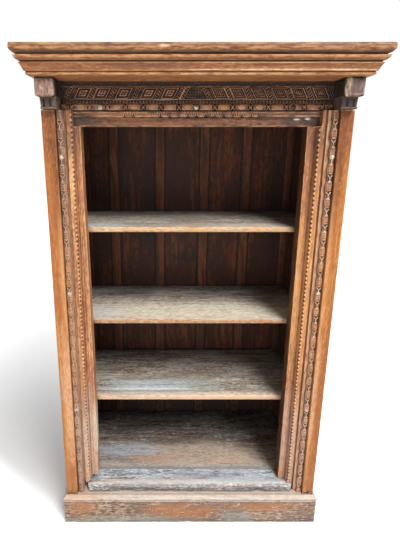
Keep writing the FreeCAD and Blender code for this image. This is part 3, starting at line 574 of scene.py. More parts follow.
class Effects:
    """The shader node groups that the finishes share, each built once."""

    def __init__(self) -> None:
        """Build every group."""
        self.grain = self.make_grain()
        self.mottle = self.make_mottle()
        self.wear = self.make_wear()
        self.scratches = self.make_scratches()
        self.patch = self.make_patch()

    def make_grain(self) -> bpy.types.NodeTree:
        """Build the grain: rings, streaks and pores along the vector's third axis.

        Returns:
            The group's tree.
        """
        inputs = ("v:Vector", "c:Pale", "c:Base", "c:Deep", "f:Figure", "f:Streaks", "f:Flecks")
        wires, into, out = shared_group("timber grain", inputs, ("c:Color", "f:Height"))
        vector, pale, deep = into["Vector"], into["Pale"], into["Deep"]
        bend = wires.maths("SUBTRACT", wires.cloud(vector, (7.0, 7.0, 1.1), 2.0, 0.3), 0.5)
        bend = wires.maths("MULTIPLY", bend, 0.16)
        bent = wires.stretch(vector, (20.0, 20.0, 0.9), wires.add("CombineXYZ", {0: bend, 1: bend}).outputs[0])
        looks = {"Vector": bent, "Scale": 0.9, "Distortion": 3.0, "Detail": 3.0}
        rings = wires.add("TexWave", looks, wave_type="BANDS", bands_direction="DIAGONAL")
        streaks = wires.cloud(vector, (95.0, 95.0, 4.5), 6.0, 0.3)
        dashes = wires.cloud(vector, (190.0, 190.0, 24.0), 3.0, 0.2)
        fibres = wires.cloud(vector, (520.0, 520.0, 30.0))
        flecks = wires.cloud(vector, (210.0, 210.0, 60.0), 5.0, 0.3)
        pores = wires.between(fibres, 0.56, 0.68)
        colour = wires.blend(wires.share(rings.outputs[1], into["Figure"]), into["Base"], deep)
        for mask, amount, other in (
            (wires.between(streaks, 0.44, 0.60), into["Streaks"], pale),
            (wires.between(dashes, 0.50, 0.34), into["Streaks"], deep),
            (pores, 0.5, deep),
            (wires.between(flecks, 0.53, 0.64), into["Flecks"], pale),
            (wires.between(flecks, 0.47, 0.36), into["Flecks"], deep),
        ):
            colour = wires.blend(wires.share(mask, amount), colour, other)
        height = wires.maths("SUBTRACT", wires.maths("ADD", streaks, fibres), wires.maths("MULTIPLY", pores, 0.6))
        wires.feed(out["Color"], colour)
        wires.feed(out["Height"], height)
        return wires.tree

    def make_mottle(self) -> bpy.types.NodeTree:
        """Build slow changes of tone, drawn out along the grain.

        Returns:
            The group's tree.
        """
        inputs = ("v:Vector", "c:Color", "c:Tint", "f:Amount")
        wires, into, out = shared_group("mottled tone", inputs, ("c:Color",))
        broad = wires.cloud(into["Vector"], (11.0, 11.0, 4.0), 5.0, 0.6)
        small = wires.cloud(into["Vector"], (95.0, 95.0, 42.0), 4.0, 0.4)
        mask = wires.maths("ADD", wires.between(broad, 0.44, 0.60), wires.between(small, 0.46, 0.64))
        wires.feed(out["Color"], wires.blend(wires.share(mask, into["Amount"]), into["Color"], into["Tint"]))
        return wires.tree

    def make_wear(self) -> bpy.types.NodeTree:
        """Build rubbed arrises, recesses darkened with dirt and painted shade, and bare splintered wood.

        Returns:
            The group's tree.
        """
        inputs = ("v:Vector", "c:Color", "c:Ridge", "f:Rubbed", "c:Grime", "f:Dirty", "c:Raw")
        wires, into, out = shared_group("edge wear", inputs, ("c:Color", "f:Mask"))
        along = wires.stretch(into["Vector"], (150.0, 150.0, 34.0))
        broken = wires.between(wires.cloud(along, 1.0, 5.0), 0.34, 0.60)
        rubbed = wires.maths("MULTIPLY", wires.between(wires.attribute("worn"), 0.12, 0.85), broken)
        rubbed = wires.share(rubbed, into["Rubbed"])
        # Dirt and painted shade: darker in recesses and wherever the shade mark lies.
        patchy_dirt_and_shade = wires.maths("ADD", wires.between(wires.cloud(along, 0.6, 4.0), 0.3, 0.7), 0.6)
        dirty = wires.maths("MULTIPLY", wires.between(wires.attribute("recess"), 0.05, 0.8), patchy_dirt_and_shade)
        colour = wires.blend(rubbed, into["Color"], into["Ridge"])
        colour = wires.blend(wires.share(dirty, into["Dirty"]), colour, into["Grime"])
        wires.feed(out["Color"], wires.blend(wires.attribute("raw"), colour, into["Raw"]))
        wires.feed(out["Mask"], rubbed)
        return wires.tree

    def make_scratches(self) -> bpy.types.NodeTree:
        """Build thin pale scratches that lie about in all directions.

        Returns:
            The group's tree.
        """
        inputs = ("v:Vector", "c:Color", "c:Scratch", "f:Amount")
        wires, into, out = shared_group("scratches", inputs, ("c:Color",))
        total = 0.0
        for turn, scale in ((0.4, 16.0), (1.9, 21.0)):
            spin = {"Vector": into["Vector"], "Axis": (0.6, 0.7, 0.4), "Angle": turn}
            turned = wires.add("VectorRotate", spin, rotation_type="AXIS_ANGLE").outputs[0]
            cells = wires.cloud(turned, (scale, scale * 5, scale), 1.0, 0.4)
            line = wires.maths("ABSOLUTE", wires.maths("SUBTRACT", cells, 0.5))
            here = wires.between(wires.cloud(turned, 9.0 + scale, 2.0), 0.52, 0.66)
            mark = wires.maths("MULTIPLY", wires.between(line, 0.012, 0.0), here)
            total = wires.maths("ADD", mark, total)
        wires.feed(out["Color"], wires.blend(wires.share(total, into["Amount"]), into["Color"], into["Scratch"]))
        return wires.tree

    def make_patch(self) -> bpy.types.NodeTree:
        """Build one patch of ragged outline round a place, used for stains and for painted light and shade.

        Returns:
            The group's tree.
        """
        inputs = ("v:Vector", "v:Grain", "c:Color", "c:Stain", "v:Centre", "v:Spread", "f:Amount")
        wires, into, out = shared_group("stain", inputs, ("c:Color",))
        away = wires.vector("SUBTRACT", into["Vector"], into["Centre"])
        length = wires.measure("LENGTH", wires.vector("DIVIDE", away, into["Spread"]))
        ragged = wires.maths("MULTIPLY", wires.cloud(into["Grain"], (60.0, 60.0, 9.0), 6.0, 0.5), 1.5)
        flecks = wires.cloud(into["Grain"], (210.0, 210.0, 50.0), 4.0)
        mask = wires.share(wires.between(wires.maths("ADD", length, ragged), 2.05, 1.05), into["Amount"])
        thin = wires.maths("MULTIPLY_ADD", wires.between(flecks, 0.40, 0.56), 0.55, 0.45)
        wires.feed(out["Color"], wires.blend(wires.share(mask, thin), into["Color"], into["Stain"]))
        return wires.tree


@cache
def effects() -> Effects:
    """The shared groups, built when they are first asked for."""
    return Effects()


# Finishes


@dataclass(frozen=True)
class Stain:
    """A patch of another colour round one place, in metres, used for stains and for painted light and shade."""

    colour: Colour
    centre: tuple[float, float, float]
    spread: tuple[float, float, float]
    amount: float = 0.8


def stains_and_painted_light_on(face: Axis, place: float, reach: float, *rows: tuple[float, ...]) -> tuple[Stain, ...]:
    """Patches, for stains and for painted light and shade, that share their place across one face.

    Args:
        face: Axis that stands square to the face.
        place: Where the face is along that axis.
        reach: How far the stains reach along it.
        *rows: Red, green and blue, two places, two spreads and the amount of each patch.

    Returns:
        The patches.
    """
    stains_and_painted_light = []
    for *colour, first, second, wide, high, amount in rows:
        centre, spread = [first, second], [wide, high]
        centre.insert(face.value, place)
        spread.insert(face.value, reach)
        stains_and_painted_light.append(Stain(tuple(colour), tuple(centre), tuple(spread), amount))
    return tuple(stains_and_painted_light)


@dataclass(frozen=True)
class Timber:
    """Old timber: the colours of its grain, how it has worn, and the shade painted into its corners and inside the
    carcass.
    """

    name: str
    base: Colour
    pale: Colour
    deep: Colour
    tint: Colour
    ridge: Colour
    # Colour of dirt and of painted shade in recesses and corners.
    grime: Colour = (28, 18, 13)
    bloom: Colour = (150, 158, 158)
    raw: Colour = (226, 214, 190)
    second: Colour = (220, 160, 84)
    # Colour of the painted shade inside the carcass.
    indoors: Colour = (58, 34, 24)
    figure: float = 0.45
    streaks: float = 0.5
    flecked: float = 0.6
    mottled: float = 0.35
    rubbed: float = 0.75
    dirty: float = 0.9
    dusty: float = 0.0
    scratched: float = 0.0
    # How much painted shade darkens the inside of the carcass.
    indoor_shade: float = 0.0
    # Painted shade and dirt gathered in the corners: how strong it is, and how far it reaches.
    corners: float = 0.7
    corner_shade_reach: float = 0.03
    fineness: float = 1.0
    roughness: float = 0.6
    bump: float = 0.5
    stains_and_painted_light: tuple[Stain, ...] = ()

    def material(self, axis: Axis) -> bpy.types.Material:
        """Find or make this timber with its grain in one direction.

        Args:
            axis: Direction of the grain.

        Returns:
            The material.
        """
        name = f"{self.name} {axis.name.lower()}"
        material = bpy.data.materials.get(name)
        if material is None:
            material = bpy.data.materials.new(name)
            self.wire(bare(material), axis)
        return material

    def grain_vector(self, wires: Wiring, axis: Axis, place: Socket) -> Socket:
        """Turn places so that the third axis follows the grain, and shift each board.

        Args:
            wires: Wiring of the material.
            axis: Direction of the grain.
            place: Places on the piece.

        Returns:
            Vector for the shared groups.
        """
        parts = wires.add("SeparateXYZ", {0: place}).outputs
        order = [index for index in range(3) if index != axis.value] + [axis.value]
        turned = wires.add("CombineXYZ", {slot: parts[index] for slot, index in enumerate(order)}).outputs[0]
        board = wires.attribute("board")
        shifts = {slot: wires.maths("MULTIPLY", board, factor) for slot, factor in enumerate((0.73, 0.41, 0.57))}
        return wires.stretch(turned, (self.fineness,) * 3, wires.add("CombineXYZ", shifts).outputs[0])

    def wire(self, wires: Wiring, axis: Axis) -> None:
        """Join the shared groups into this timber.

        Args:
            wires: Wiring of the material.
            axis: Direction of the grain.
        """
        shared = effects()
        ridge = linear(self.ridge)
        place = wires.add("TexCoord").outputs["Object"]
        vector = self.grain_vector(wires, axis, place)
        grain = wires.group(shared.grain, Vector=vector, Pale=linear(self.pale), Base=linear(self.base),
                            Deep=linear(self.deep), Figure=self.figure, Streaks=self.streaks, Flecks=self.flecked)
        toned = wires.group(shared.mottle, Vector=vector, Color=grain.outputs["Color"],
                            Tint=linear(self.tint), Amount=self.mottled)
        colour = wires.blend(wires.attribute("tone"), toned.outputs["Color"], linear(self.second))
        # Painted shade inside the carcass.
        if self.indoor_shade > 0:
            inside = wires.maths("MULTIPLY", wires.attribute("indoors"), self.indoor_shade)
            colour = wires.blend(inside, colour, linear(self.indoors))
        for stain in self.stains_and_painted_light:
            colour = wires.group(shared.patch, Vector=place, Grain=vector, Color=colour, Stain=linear(stain.colour),
                                 Centre=stain.centre, Spread=stain.spread, Amount=stain.amount).outputs["Color"]
        if self.dusty > 0:
            colour = self.dusted(wires, vector, colour)
        if self.scratched > 0:
            colour = wires.group(shared.scratches, Vector=place, Color=colour, Scratch=ridge,
                                 Amount=self.scratched).outputs["Color"]
        worn = wires.group(shared.wear, Vector=vector, Color=colour, Ridge=ridge, Rubbed=self.rubbed,
                           Grime=linear(self.grime), Dirty=self.dirty, Raw=linear(self.raw))
        bump = wires.add("Bump", {"Strength": self.bump, "Distance": 0.0012, "Height": grain.outputs["Height"]})
        polish = wires.maths("MULTIPLY", worn.outputs["Mask"], 0.2)
        surface = wires.add("BsdfPrincipled", {
            "Base Color": self.corner_shade_and_dirt(wires, worn.outputs["Color"]),
            "Roughness": wires.maths("SUBTRACT", self.roughness + 0.1, polish),
            "Specular IOR Level": 0.35,
            "Normal": bump.outputs[0],
        })
        wires.add("OutputMaterial", {0: surface.outputs[0]})

    def corner_shade_and_dirt(self, wires: Wiring, colour: Socket) -> Socket:
        """Darken the corners with painted shade where light is blocked, and with old polish and dirt.

        Args:
            wires: Wiring of the material.
            colour: Colour of the open faces.

        Returns:
            The colour with its dark corners.
        """
        near = wires.add("AmbientOcclusion", {"Distance": self.corner_shade_reach}, samples=5, only_local=False)
        shaded_hollow = wires.share(wires.between(near.outputs["AO"], 0.95, 0.25), self.corners)
        return wires.blend(shaded_hollow, colour, linear(self.grime))

    def dusted(self, wires: Wiring, vector: Socket, colour: Socket) -> Socket:
        """Lay dry bloom over the faces that look up.

        Args:
            wires: Wiring of the material.
            vector: Vector along the grain.
            colour: Colour below the bloom.

        Returns:
            The colour with the bloom.
        """
        normal = wires.add("SeparateXYZ", {0: wires.add("NewGeometry").outputs["Normal"]})
        streaks = wires.cloud(vector, (34.0, 34.0, 5.0), 6.0, 0.8)
        lying = wires.maths("MULTIPLY", wires.between(normal.outputs[2], 0.3, 0.95), self.dusty)
        return wires.blend(wires.share(lying, wires.between(streaks, 0.36, 0.62)), colour, linear(self.bloom))


@dataclass(frozen=True)
class Iron:
    """Forged iron, dark in its dents and rubbed pale on its dome."""

    name: str
    dark: Colour
    bright: Colour
    grime: Colour = (24, 19, 17)

    def material(self, axis: Axis) -> bpy.types.Material:
        """Find or make the iron.

        Args:
            axis: Not used, as iron has no grain.

        Returns:
            The material.
        """
        material = bpy.data.materials.get(self.name)
        if material is None:
            material = bpy.data.materials.new(self.name)
            self.wire(bare(material))
        return material

    def wire(self, wires: Wiring) -> None:
        """Join the shared wear into this iron.

        Args:
            wires: Wiring of the material.
        """
        bright = linear(self.bright)
        place = wires.add("TexCoord").outputs["Object"]
        rust = wires.between(wires.cloud(place, 160.0, 5.0), 0.4, 0.65)
        colour = wires.blend(rust, bright, linear(self.dark))
        worn = wires.group(effects().wear, Vector=place, Color=colour, Ridge=bright, Rubbed=0.8,
                           Grime=linear(self.grime), Dirty=0.9, Raw=bright)
        bump = wires.add("Bump", {"Strength": 0.5, "Distance": 0.0008, "Height": wires.cloud(place, 420.0, 4.0)})
        surface = wires.add("BsdfPrincipled", {
            "Base Color": worn.outputs["Color"],
            "Metallic": 0.25,
            "Roughness": wires.maths("MULTIPLY_ADD", rust, 0.25, 0.5),
            "Normal": bump.outputs[0],
        })
        wires.add("OutputMaterial", {0: surface.outputs[0]})


POST_TEAK = Timber(
    "golden post teak", base=(187, 116, 53), pale=(217, 153, 84), deep=(129, 70, 30), tint=(158, 91, 42),
    ridge=(230, 186, 140), grime=(96, 56, 30), figure=0.35, streaks=0.6, flecked=0.3, mottled=0.4, rubbed=0.55,
    corners=0.25, corner_shade_reach=0.01, roughness=0.45, scratched=0.25,
)
SIDE_TEAK = replace(
    POST_TEAK, name="brown side teak", base=(164, 102, 60), pale=(190, 132, 84), deep=(112, 66, 36), indoor_shade=0.95,
)
JAMB_TEAK = Timber(
    "jamb teak", base=(182, 120, 78), pale=(220, 164, 114), deep=(120, 72, 46), tint=(156, 96, 70),
    ridge=(228, 178, 122), second=(242, 196, 132), grime=(74, 42, 25), dirty=0.75, rubbed=0.7, mottled=0.5,
    streaks=0.7, corners=0.3, corner_shade_reach=0.01, roughness=0.5, scratched=0.3,
)
ROLL_TEAK = Timber(
    "roll teak", base=(134, 96, 73), pale=(180, 137, 105), deep=(72, 47, 37), tint=(106, 77, 64),
    ridge=(210, 174, 142), second=(255, 242, 224), grime=(70, 44, 31), rubbed=0.6, dirty=0.85, mottled=0.5,
    streaks=0.6, flecked=0.9, corners=0.25, corner_shade_reach=0.009,
)
FRIEZE_TEAK = Timber(
    "dark frieze teak", base=(106, 66, 45), pale=(160, 106, 74), deep=(46, 25, 18), tint=(84, 47, 35),
    ridge=(218, 166, 126), second=(244, 192, 150), grime=(22, 11, 7), rubbed=0.7, dirty=0.9, streaks=0.6,
    mottled=0.5, flecked=0.8, corners=0.6, corner_shade_reach=0.02,
)
LINTEL_TEAK = replace(
    FRIEZE_TEAK, name="lintel teak", base=(104, 69, 51), pale=(150, 107, 80), deep=(54, 33, 26), flecked=1.0,
    tint=(84, 56, 45), second=(168, 128, 98),
)
BRACKET_WOOD = Timber(
    "bracket wood", base=(156, 121, 103), pale=(188, 156, 134), deep=(104, 76, 64), tint=(130, 104, 92),
    ridge=(196, 168, 148), second=(70, 62, 52), raw=(232, 208, 178), roughness=0.7, figure=0.2, mottled=0.8,
    flecked=0.9, streaks=0.35, rubbed=0.4, fineness=0.7,
)
CORNICE_TEAK = Timber(
    "cornice teak", base=(162, 104, 60), pale=(200, 140, 86), deep=(100, 54, 32), tint=(138, 80, 46),
    ridge=(232, 184, 134), grime=(58, 26, 14), roughness=0.45, figure=0.3, streaks=0.7, mottled=0.45, rubbed=0.6,
    corners=0.9, corner_shade_reach=0.012,
)
SHELF_WOOD = Timber(
    "shelf wood", base=(166, 148, 128), pale=(226, 214, 194), deep=(88, 70, 56), tint=(134, 116, 102),
    ridge=(206, 156, 110), dusty=0.3, bloom=(190, 194, 190), figure=0.3, streaks=1.0, flecked=1.0,
    mottled=0.5, rubbed=0.6, roughness=0.55, fineness=1.15,
)
DECK_WOOD = replace(
    SHELF_WOOD, name="deck wood", base=(148, 128, 112), pale=(206, 190, 170), deep=(72, 56, 47), tint=(112, 96, 86),
)
THRESHOLD_WOOD = replace(
    SHELF_WOOD, name="threshold wood", base=(154, 150, 147), pale=(232, 238, 242), deep=(78, 72, 70),
    tint=(124, 122, 126), bloom=(212, 224, 234), ridge=(206, 190, 172), dusty=0.5, fineness=1.25,
)
BACK_WOOD = Timber(
    "dark back wood", base=(97, 51, 28), pale=(138, 84, 50), deep=(38, 18, 11), tint=(58, 30, 19),
    ridge=(134, 86, 54), rubbed=0.4, figure=0.8, streaks=0.4, flecked=0.2, mottled=0.85, roughness=0.6,
    corners=0.9, fineness=0.7,
)
STRIP_WOOD = replace(
    BACK_WOOD, name="strip wood", base=(116, 66, 38), pale=(144, 90, 54), mottled=0.3,
    stains_and_painted_light=(
        Stain((20, 13, 12), (0.0, 0.28, 0.20), (1.6, 0.1, 0.32), 0.9),
        Stain((64, 36, 24), (0.0, 0.28, 0.68), (1.6, 0.1, 0.22), 0.5),
    ),
)
PLINTH_TEAK = Timber(
    "plinth teak", base=(146, 118, 98), pale=(202, 176, 154), deep=(82, 60, 48), tint=(118, 98, 86),
    ridge=(230, 212, 194), scratched=0.7, figure=0.3, mottled=0.7, flecked=1.0, fineness=0.8,
    stains_and_painted_light=stains_and_painted_light_on(
        Axis.DEPTH, -0.216, 0.08,
        (182, 116, 74, -0.440, 0.072, 0.070, 0.046, 0.7),
        (188, 120, 70, -0.040, 0.058, 0.160, 0.042, 0.7),
        (186, 124, 78, 0.300, 0.080, 0.190, 0.034, 0.65),
        (166, 168, 156, -0.260, 0.010, 0.300, 0.030, 0.7),
        (150, 152, 144, 0.190, 0.022, 0.080, 0.052, 0.75),
        (116, 98, 88, 0.480, 0.030, 0.060, 0.060, 0.5),
    ),
)
IRON = Iron("forged iron", dark=(60, 50, 42), bright=(204, 186, 160))


# Sub-assemblies


@dataclass
class Boards:
    """Every plain board, each worn in its own way."""

    arris: float = 1.6
    step: float = 9.0
    chips: float = 1.4
    half_strip: float = 20.5
    count: int = 0

    def lattice(self, low: np.ndarray, high: np.ndarray, axis: Axis, arris: float, step: float) -> np.ndarray:
        """Make one worn board between two corners, with an arris radius and a distance of its points."""
        self.count += 1
        return weathered(board_lattice(low, high, axis, arris, step), self.count, self.chips)

    def board(self, node: str, axis: Axis, finish: Timber, arris: float = 0.0, step: float = 0.0) -> None:
        """Dress one packed board.

        Args:
            node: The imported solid.
            axis: Direction that it runs in.
            finish: What it is made of.
            arris: Radius of its arrises, where it isn't the usual one.
            step: Distance between the points, where it isn't the usual one.
        """
        low, high = box_of(node)
        lattice = self.lattice(low, high, axis, arris or self.arris, step or self.step)
        Skin(node + "_worn", seed=self.count).add(lattice).dress(finish, axis, [node])

    def build(self) -> None:
        """Dress all the boards of the carcass."""
        for side in ("left", "right"):
            self.board(f"back_post_{side}", Axis.UPRIGHT, SIDE_TEAK)
            self.board(f"corner_strip_{side}", Axis.UPRIGHT, BACK_WOOD)
            for place in ("front", "rear"):
                self.board(f"side_board_{place}_{side}", Axis.UPRIGHT, SIDE_TEAK)
            for place in ("bottom", "middle", "top"):
                self.rail(f"side_rail_{place}_{side}", side)
        self.back()
        self.strips()
        deck = replace(
            DECK_WOOD,
            name="deck wood worn", dusty=0.12,
            # Painted light and shade: the two dark rows are painted shade at the rear, the pale rows painted light
            # at the front, and the pale blue row a painted reflection of the sky.
            stains_and_painted_light=stains_and_painted_light_on(
                Axis.UPRIGHT, 0.17, 0.1,
                (222, 214, 208, 0.0, -0.09, 0.8, 0.035, 0.5),
                (60, 50, 44, 0.0, 0.30, 1.2, 0.35, 0.95),
                (22, 18, 17, 0.0, 0.34, 1.2, 0.23, 0.95),
                (222, 196, 174, 0.06, -0.03, 0.36, 0.08, 0.7),
                (224, 188, 156, 0.16, -0.055, 0.14, 0.03, 0.4),
                (206, 152, 122, -0.16, -0.05, 0.14, 0.03, 0.6),
                (186, 200, 216, -0.28, 0.00, 0.16, 0.05, 0.6),
                (128, 134, 146, 0.0, -0.107, 0.70, 0.012, 0.7),
            ),
        )
        for place in ("front", "rear"):
            self.board(f"deck_board_{place}", Axis.ACROSS, deck, arris=2.0)
        for level in ("lower", "middle", "upper"):
            self.shelf(level)
        # A lighter copy of the cornice teak: painted light on the underside.
        soffit = replace(CORNICE_TEAK, name="soffit teak", base=(190, 128, 80), pale=(220, 160, 104))
        self.board("soffit_board", Axis.ACROSS, soffit)

    def back(self) -> None:
        """Dress the five back boards, each its own brown and dark beside its strips."""
        browns = ((88, 48, 27), (82, 44, 26), (98, 54, 30), (106, 55, 29), (94, 43, 24))
        # Darker patches on the back, and darker across its foot.
        dark_patches = stains_and_painted_light_on(
            Axis.DEPTH, 0.28, 0.1,
            (24, 15, 12, -0.33, 1.34, 0.09, 0.10, 0.85),
            (24, 15, 12, -0.16, 1.30, 0.05, 0.22, 0.8),
            (26, 16, 13, 0.02, 1.01, 0.08, 0.03, 0.8),
            (24, 14, 12, -0.20, 1.12, 0.09, 0.07, 0.75),
            (26, 16, 13, 0.22, 1.26, 0.07, 0.03, 0.7),
            (22, 14, 12, 0.40, 1.28, 0.04, 0.30, 0.8),
            (18, 12, 12, 0.0, 0.20, 1.6, 0.20, 0.8),
        )
        for index, brown in enumerate(browns, start=1):
            node = f"back_board_{index}"
            low, high = box_of(node)
            lattice = self.lattice(low, high, Axis.UPRIGHT, self.arris, 6.0)
            across = lattice[..., 0]
            beside = np.minimum(across - low[0], high[0] - across)
            shade = 0.9 * soft_step(beside, 31, 21) + 0.7 * soft_step(beside, 25.5, 23.5)
            finish = replace(BACK_WOOD, name=f"dark back wood {index}", base=brown, stains_and_painted_light=dark_patches)
            Skin(node + "_worn", seed=index * 3).add(lattice, shade=shade).dress(finish, Axis.UPRIGHT, [node])

    def rail(self, node: str, side: str) -> None:
        """Dress a side rail between its two posts.

        Args:
            node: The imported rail, tenons and all.
            side: left or right.
        """
        low, high = box_of(node)
        low[1] = box_of(f"front_post_{side}")[1][1]
        high[1] = box_of(f"back_post_{side}")[0][1]
        lattice = self.lattice(low, high, Axis.DEPTH, self.arris, self.step)
        Skin(node + "_worn", seed=self.count).add(lattice).dress(SIDE_TEAK, Axis.DEPTH, [node])

    def strips(self) -> None:
        """Dress the strips over the seams of the back."""
        low, high = box_of("cover_strips")
        skin = Skin("cover_strips_worn", seed=31)
        for index in range(1, 5):
            seam = box_of(f"back_board_{index}")[1][0]
            start = np.array([seam - self.half_strip, low[1], low[2]])
            end = np.array([seam + self.half_strip, high[1], high[2]])
            skin.add(self.lattice(start, end, Axis.UPRIGHT, 2.5, self.step))
        skin.dress(STRIP_WOOD, Axis.UPRIGHT, ["cover_strips"])

    def shelf(self, level: str) -> None:
        """Dress the two boards of a shelf.

        Args:
            level: lower, middle or upper.
        """
        top = box_of(f"shelf_{level}_front_board")[1][2] * MILLIMETRE
        # Painted shade at the rear of each shelf, under the shelf above.
        reach = {"upper": 0.21, "middle": 0.24, "lower": 0.29}[level]
        rear = Stain((62, 48, 38), (0.0, 0.30, top), (1.2, reach, 0.1), 0.95)
        # Warm pale patches at the front are painted light, bluish-white ones painted reflections of the sky; the
        # strips along the front edges and the small dark marks are the wood's own colour.
        marks = {
            "upper": (
                Stain((206, 214, 212), (-0.34, -0.07, top), (0.12, 0.05, 0.1), 0.75),
                Stain((222, 204, 178), (0.14, -0.08, top), (0.36, 0.04, 0.1), 0.7),
                Stain((120, 84, 58), (0.0, -0.112, top - 0.010), (0.03, 0.03, 0.016), 0.6),
                Stain((222, 170, 112), (0.0, -0.112, top - 0.012), (1.6, 0.012, 0.018), 0.85),
            ),
            "middle": (
                Stain((255, 240, 212), (0.04, -0.06, top), (0.7, 0.13, 0.1), 0.9),
                Stain((214, 216, 214), (-0.36, -0.04, top), (0.10, 0.07, 0.1), 0.6),
                Stain((168, 108, 62), (0.0, -0.112, top - 0.012), (1.6, 0.012, 0.018), 0.95),
            ),
            "lower": (
                Stain((206, 224, 228), (-0.14, -0.04, top), (0.26, 0.05, 0.1), 0.85),
                Stain((240, 250, 252), (-0.20, -0.062, top), (0.24, 0.014, 0.1), 0.9),
                Stain((100, 84, 80), (-0.05, -0.078, top), (0.50, 0.006, 0.1), 0.8),
                Stain((250, 224, 198), (0.06, -0.10, top), (0.60, 0.025, 0.1), 0.95),
                Stain((212, 166, 130), (0.0, -0.112, top - 0.012), (1.6, 0.010, 0.016), 0.8),
            ),
        }
        finish = replace(SHELF_WOOD, name=f"{level} shelf wood", stains_and_painted_light=(rear,) + marks[level])
        self.board(f"shelf_{level}_front_board", Axis.ACROSS, finish, arris=6.0, step=5.0)
        self.board(f"shelf_{level}_rear_board", Axis.ACROSS, finish, arris=1.5, step=8.0)


@dataclass
class Run:
    """Moulding that goes round the front and both sides with mitred corners."""

    section: list[tuple[float, float, float]]
    plane_x: float
    plane_y: float
    end_y: float
    step: float = 5.0
    spacing: float = 2.5
    chips: float = 1.2

    def lattice(self, side: Side | None, seed: int) -> np.ndarray:
        """Make the length along the front or along one side.

        Args:
            side: Which side, or None for the front.
            seed: Chooses its wear.

        Returns:
            The lattice.
        """
        outline = rounded_outline(self.section, self.spacing)
        across = self.plane_x + outline[:, 0]
        depth = self.plane_y - outline[:, 0]
        if side is None:
            shares = np.linspace(-1, 1, int(2 * self.plane_x / self.step) + 1)[:, None]
            across = shares * across
        else:
            shares = np.linspace(0, 1, int((self.end_y - self.plane_y) / self.step) + 1)[:, None]
            across = side.value * across
            depth = depth + shares * (self.end_y - depth)
        lattice = np.stack(np.broadcast_arrays(across, depth, outline[:, 1]), axis=-1)
        return weathered(lattice, seed, self.chips)

    def dress(self, nodes: Sequence[str], finish: Timber, seed: int) -> None:
        """Dress the front and both sides.

        Args:
            nodes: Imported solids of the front, the left and the right.
            finish: What the moulding is made of.
            seed: Chooses its wear.
        """
        Skin(nodes[0] + "_worn", seed=seed).add(self.lattice(None, seed)).dress(finish, Axis.ACROSS, [nodes[0]])
        for node, side in zip(nodes[1:], Side):
            lattice = self.lattice(side, seed + side.value)
            Skin(node + "_worn", seed=seed + 1).add(lattice).dress(finish, Axis.DEPTH, [node])


@dataclass
class Plinth:
    """Plinth boards and the moulded cap on them."""

    boards: Boards
    board: float = 22.0
    cap_width: float = 75.0
    bead_top: float = 121.0
    proud: float = 2.0
    step_in: float = 7.0
    groove_inset: float = 18.0

    def build(self) -> None:
        """Dress the boards and the cap."""
        low, high = box_of("plinth_board_front")
        face_top = high[2]
        end_y = box_of("plinth_board_left")[1][1]
        section = [(-self.board, 0, 0), (0, 0, 4), (0, face_top, 2), (-self.board, face_top, 0)]
        faces = Run(section, high[0], low[1], end_y, chips=2.0)
        faces.dress(["plinth_board_front", "plinth_board_left", "plinth_board_right"], PLINTH_TEAK, 41)
        cap_top = box_of("plinth_cap_front")[1][2]
        groove = -self.groove_inset
        cap = [
            (-self.cap_width, face_top, 0), (-0.4, face_top, 0.4), (-0.4, face_top + 2.4, 0.4),
            (-4.5, face_top + 3.2, 0.4), (-4.0, face_top + 5.6, 0.4), (self.proud, face_top + 6.2, 2.5),
            (self.proud, self.bead_top - 2, 4), (-self.step_in / 2, self.bead_top + 1, 1),
            (-self.step_in, cap_top, 2), (groove + 3.5, cap_top, 0.5), (groove, cap_top - 4.5, 0.4),
            (groove - 3.0, cap_top, 0.5), (-self.cap_width, cap_top, 0),
        ]
        runs = Run(cap, high[0], low[1], end_y, spacing=1.6, chips=1.0)
        finish = replace(
            PLINTH_TEAK,
            name="plinth cap teak", base=(220, 207, 194), pale=(238, 229, 220), deep=(176, 152, 134),
            tint=(218, 200, 186), flecked=0.4, fineness=1.0, streaks=0.6, corners=0.4, corner_shade_reach=0.006,
            stains_and_painted_light=(
                Stain((210, 146, 100), (-0.44, -0.20, 0.13), (0.10, 0.05, 0.03), 0.7),
                Stain((212, 172, 144), (0.16, -0.196, 0.13), (0.26, 0.010, 0.03), 0.5),
                Stain((184, 166, 150), (0.0, -0.20, 0.137), (1.6, 0.08, 0.014), 0.9),
                # Painted shadow line under the bead.
                Stain((132, 110, 96), (0.0, -0.215, 0.1155), (1.6, 0.03, 0.004), 0.8),
            ),
        )
        runs.dress(["plinth_cap_front", "plinth_cap_left", "plinth_cap_right"], finish, 47)
        for node in ("plinth_board_back", "plinth_cap_back"):
            self.boards.board(node, Axis.ACROSS, BACK_WOOD)


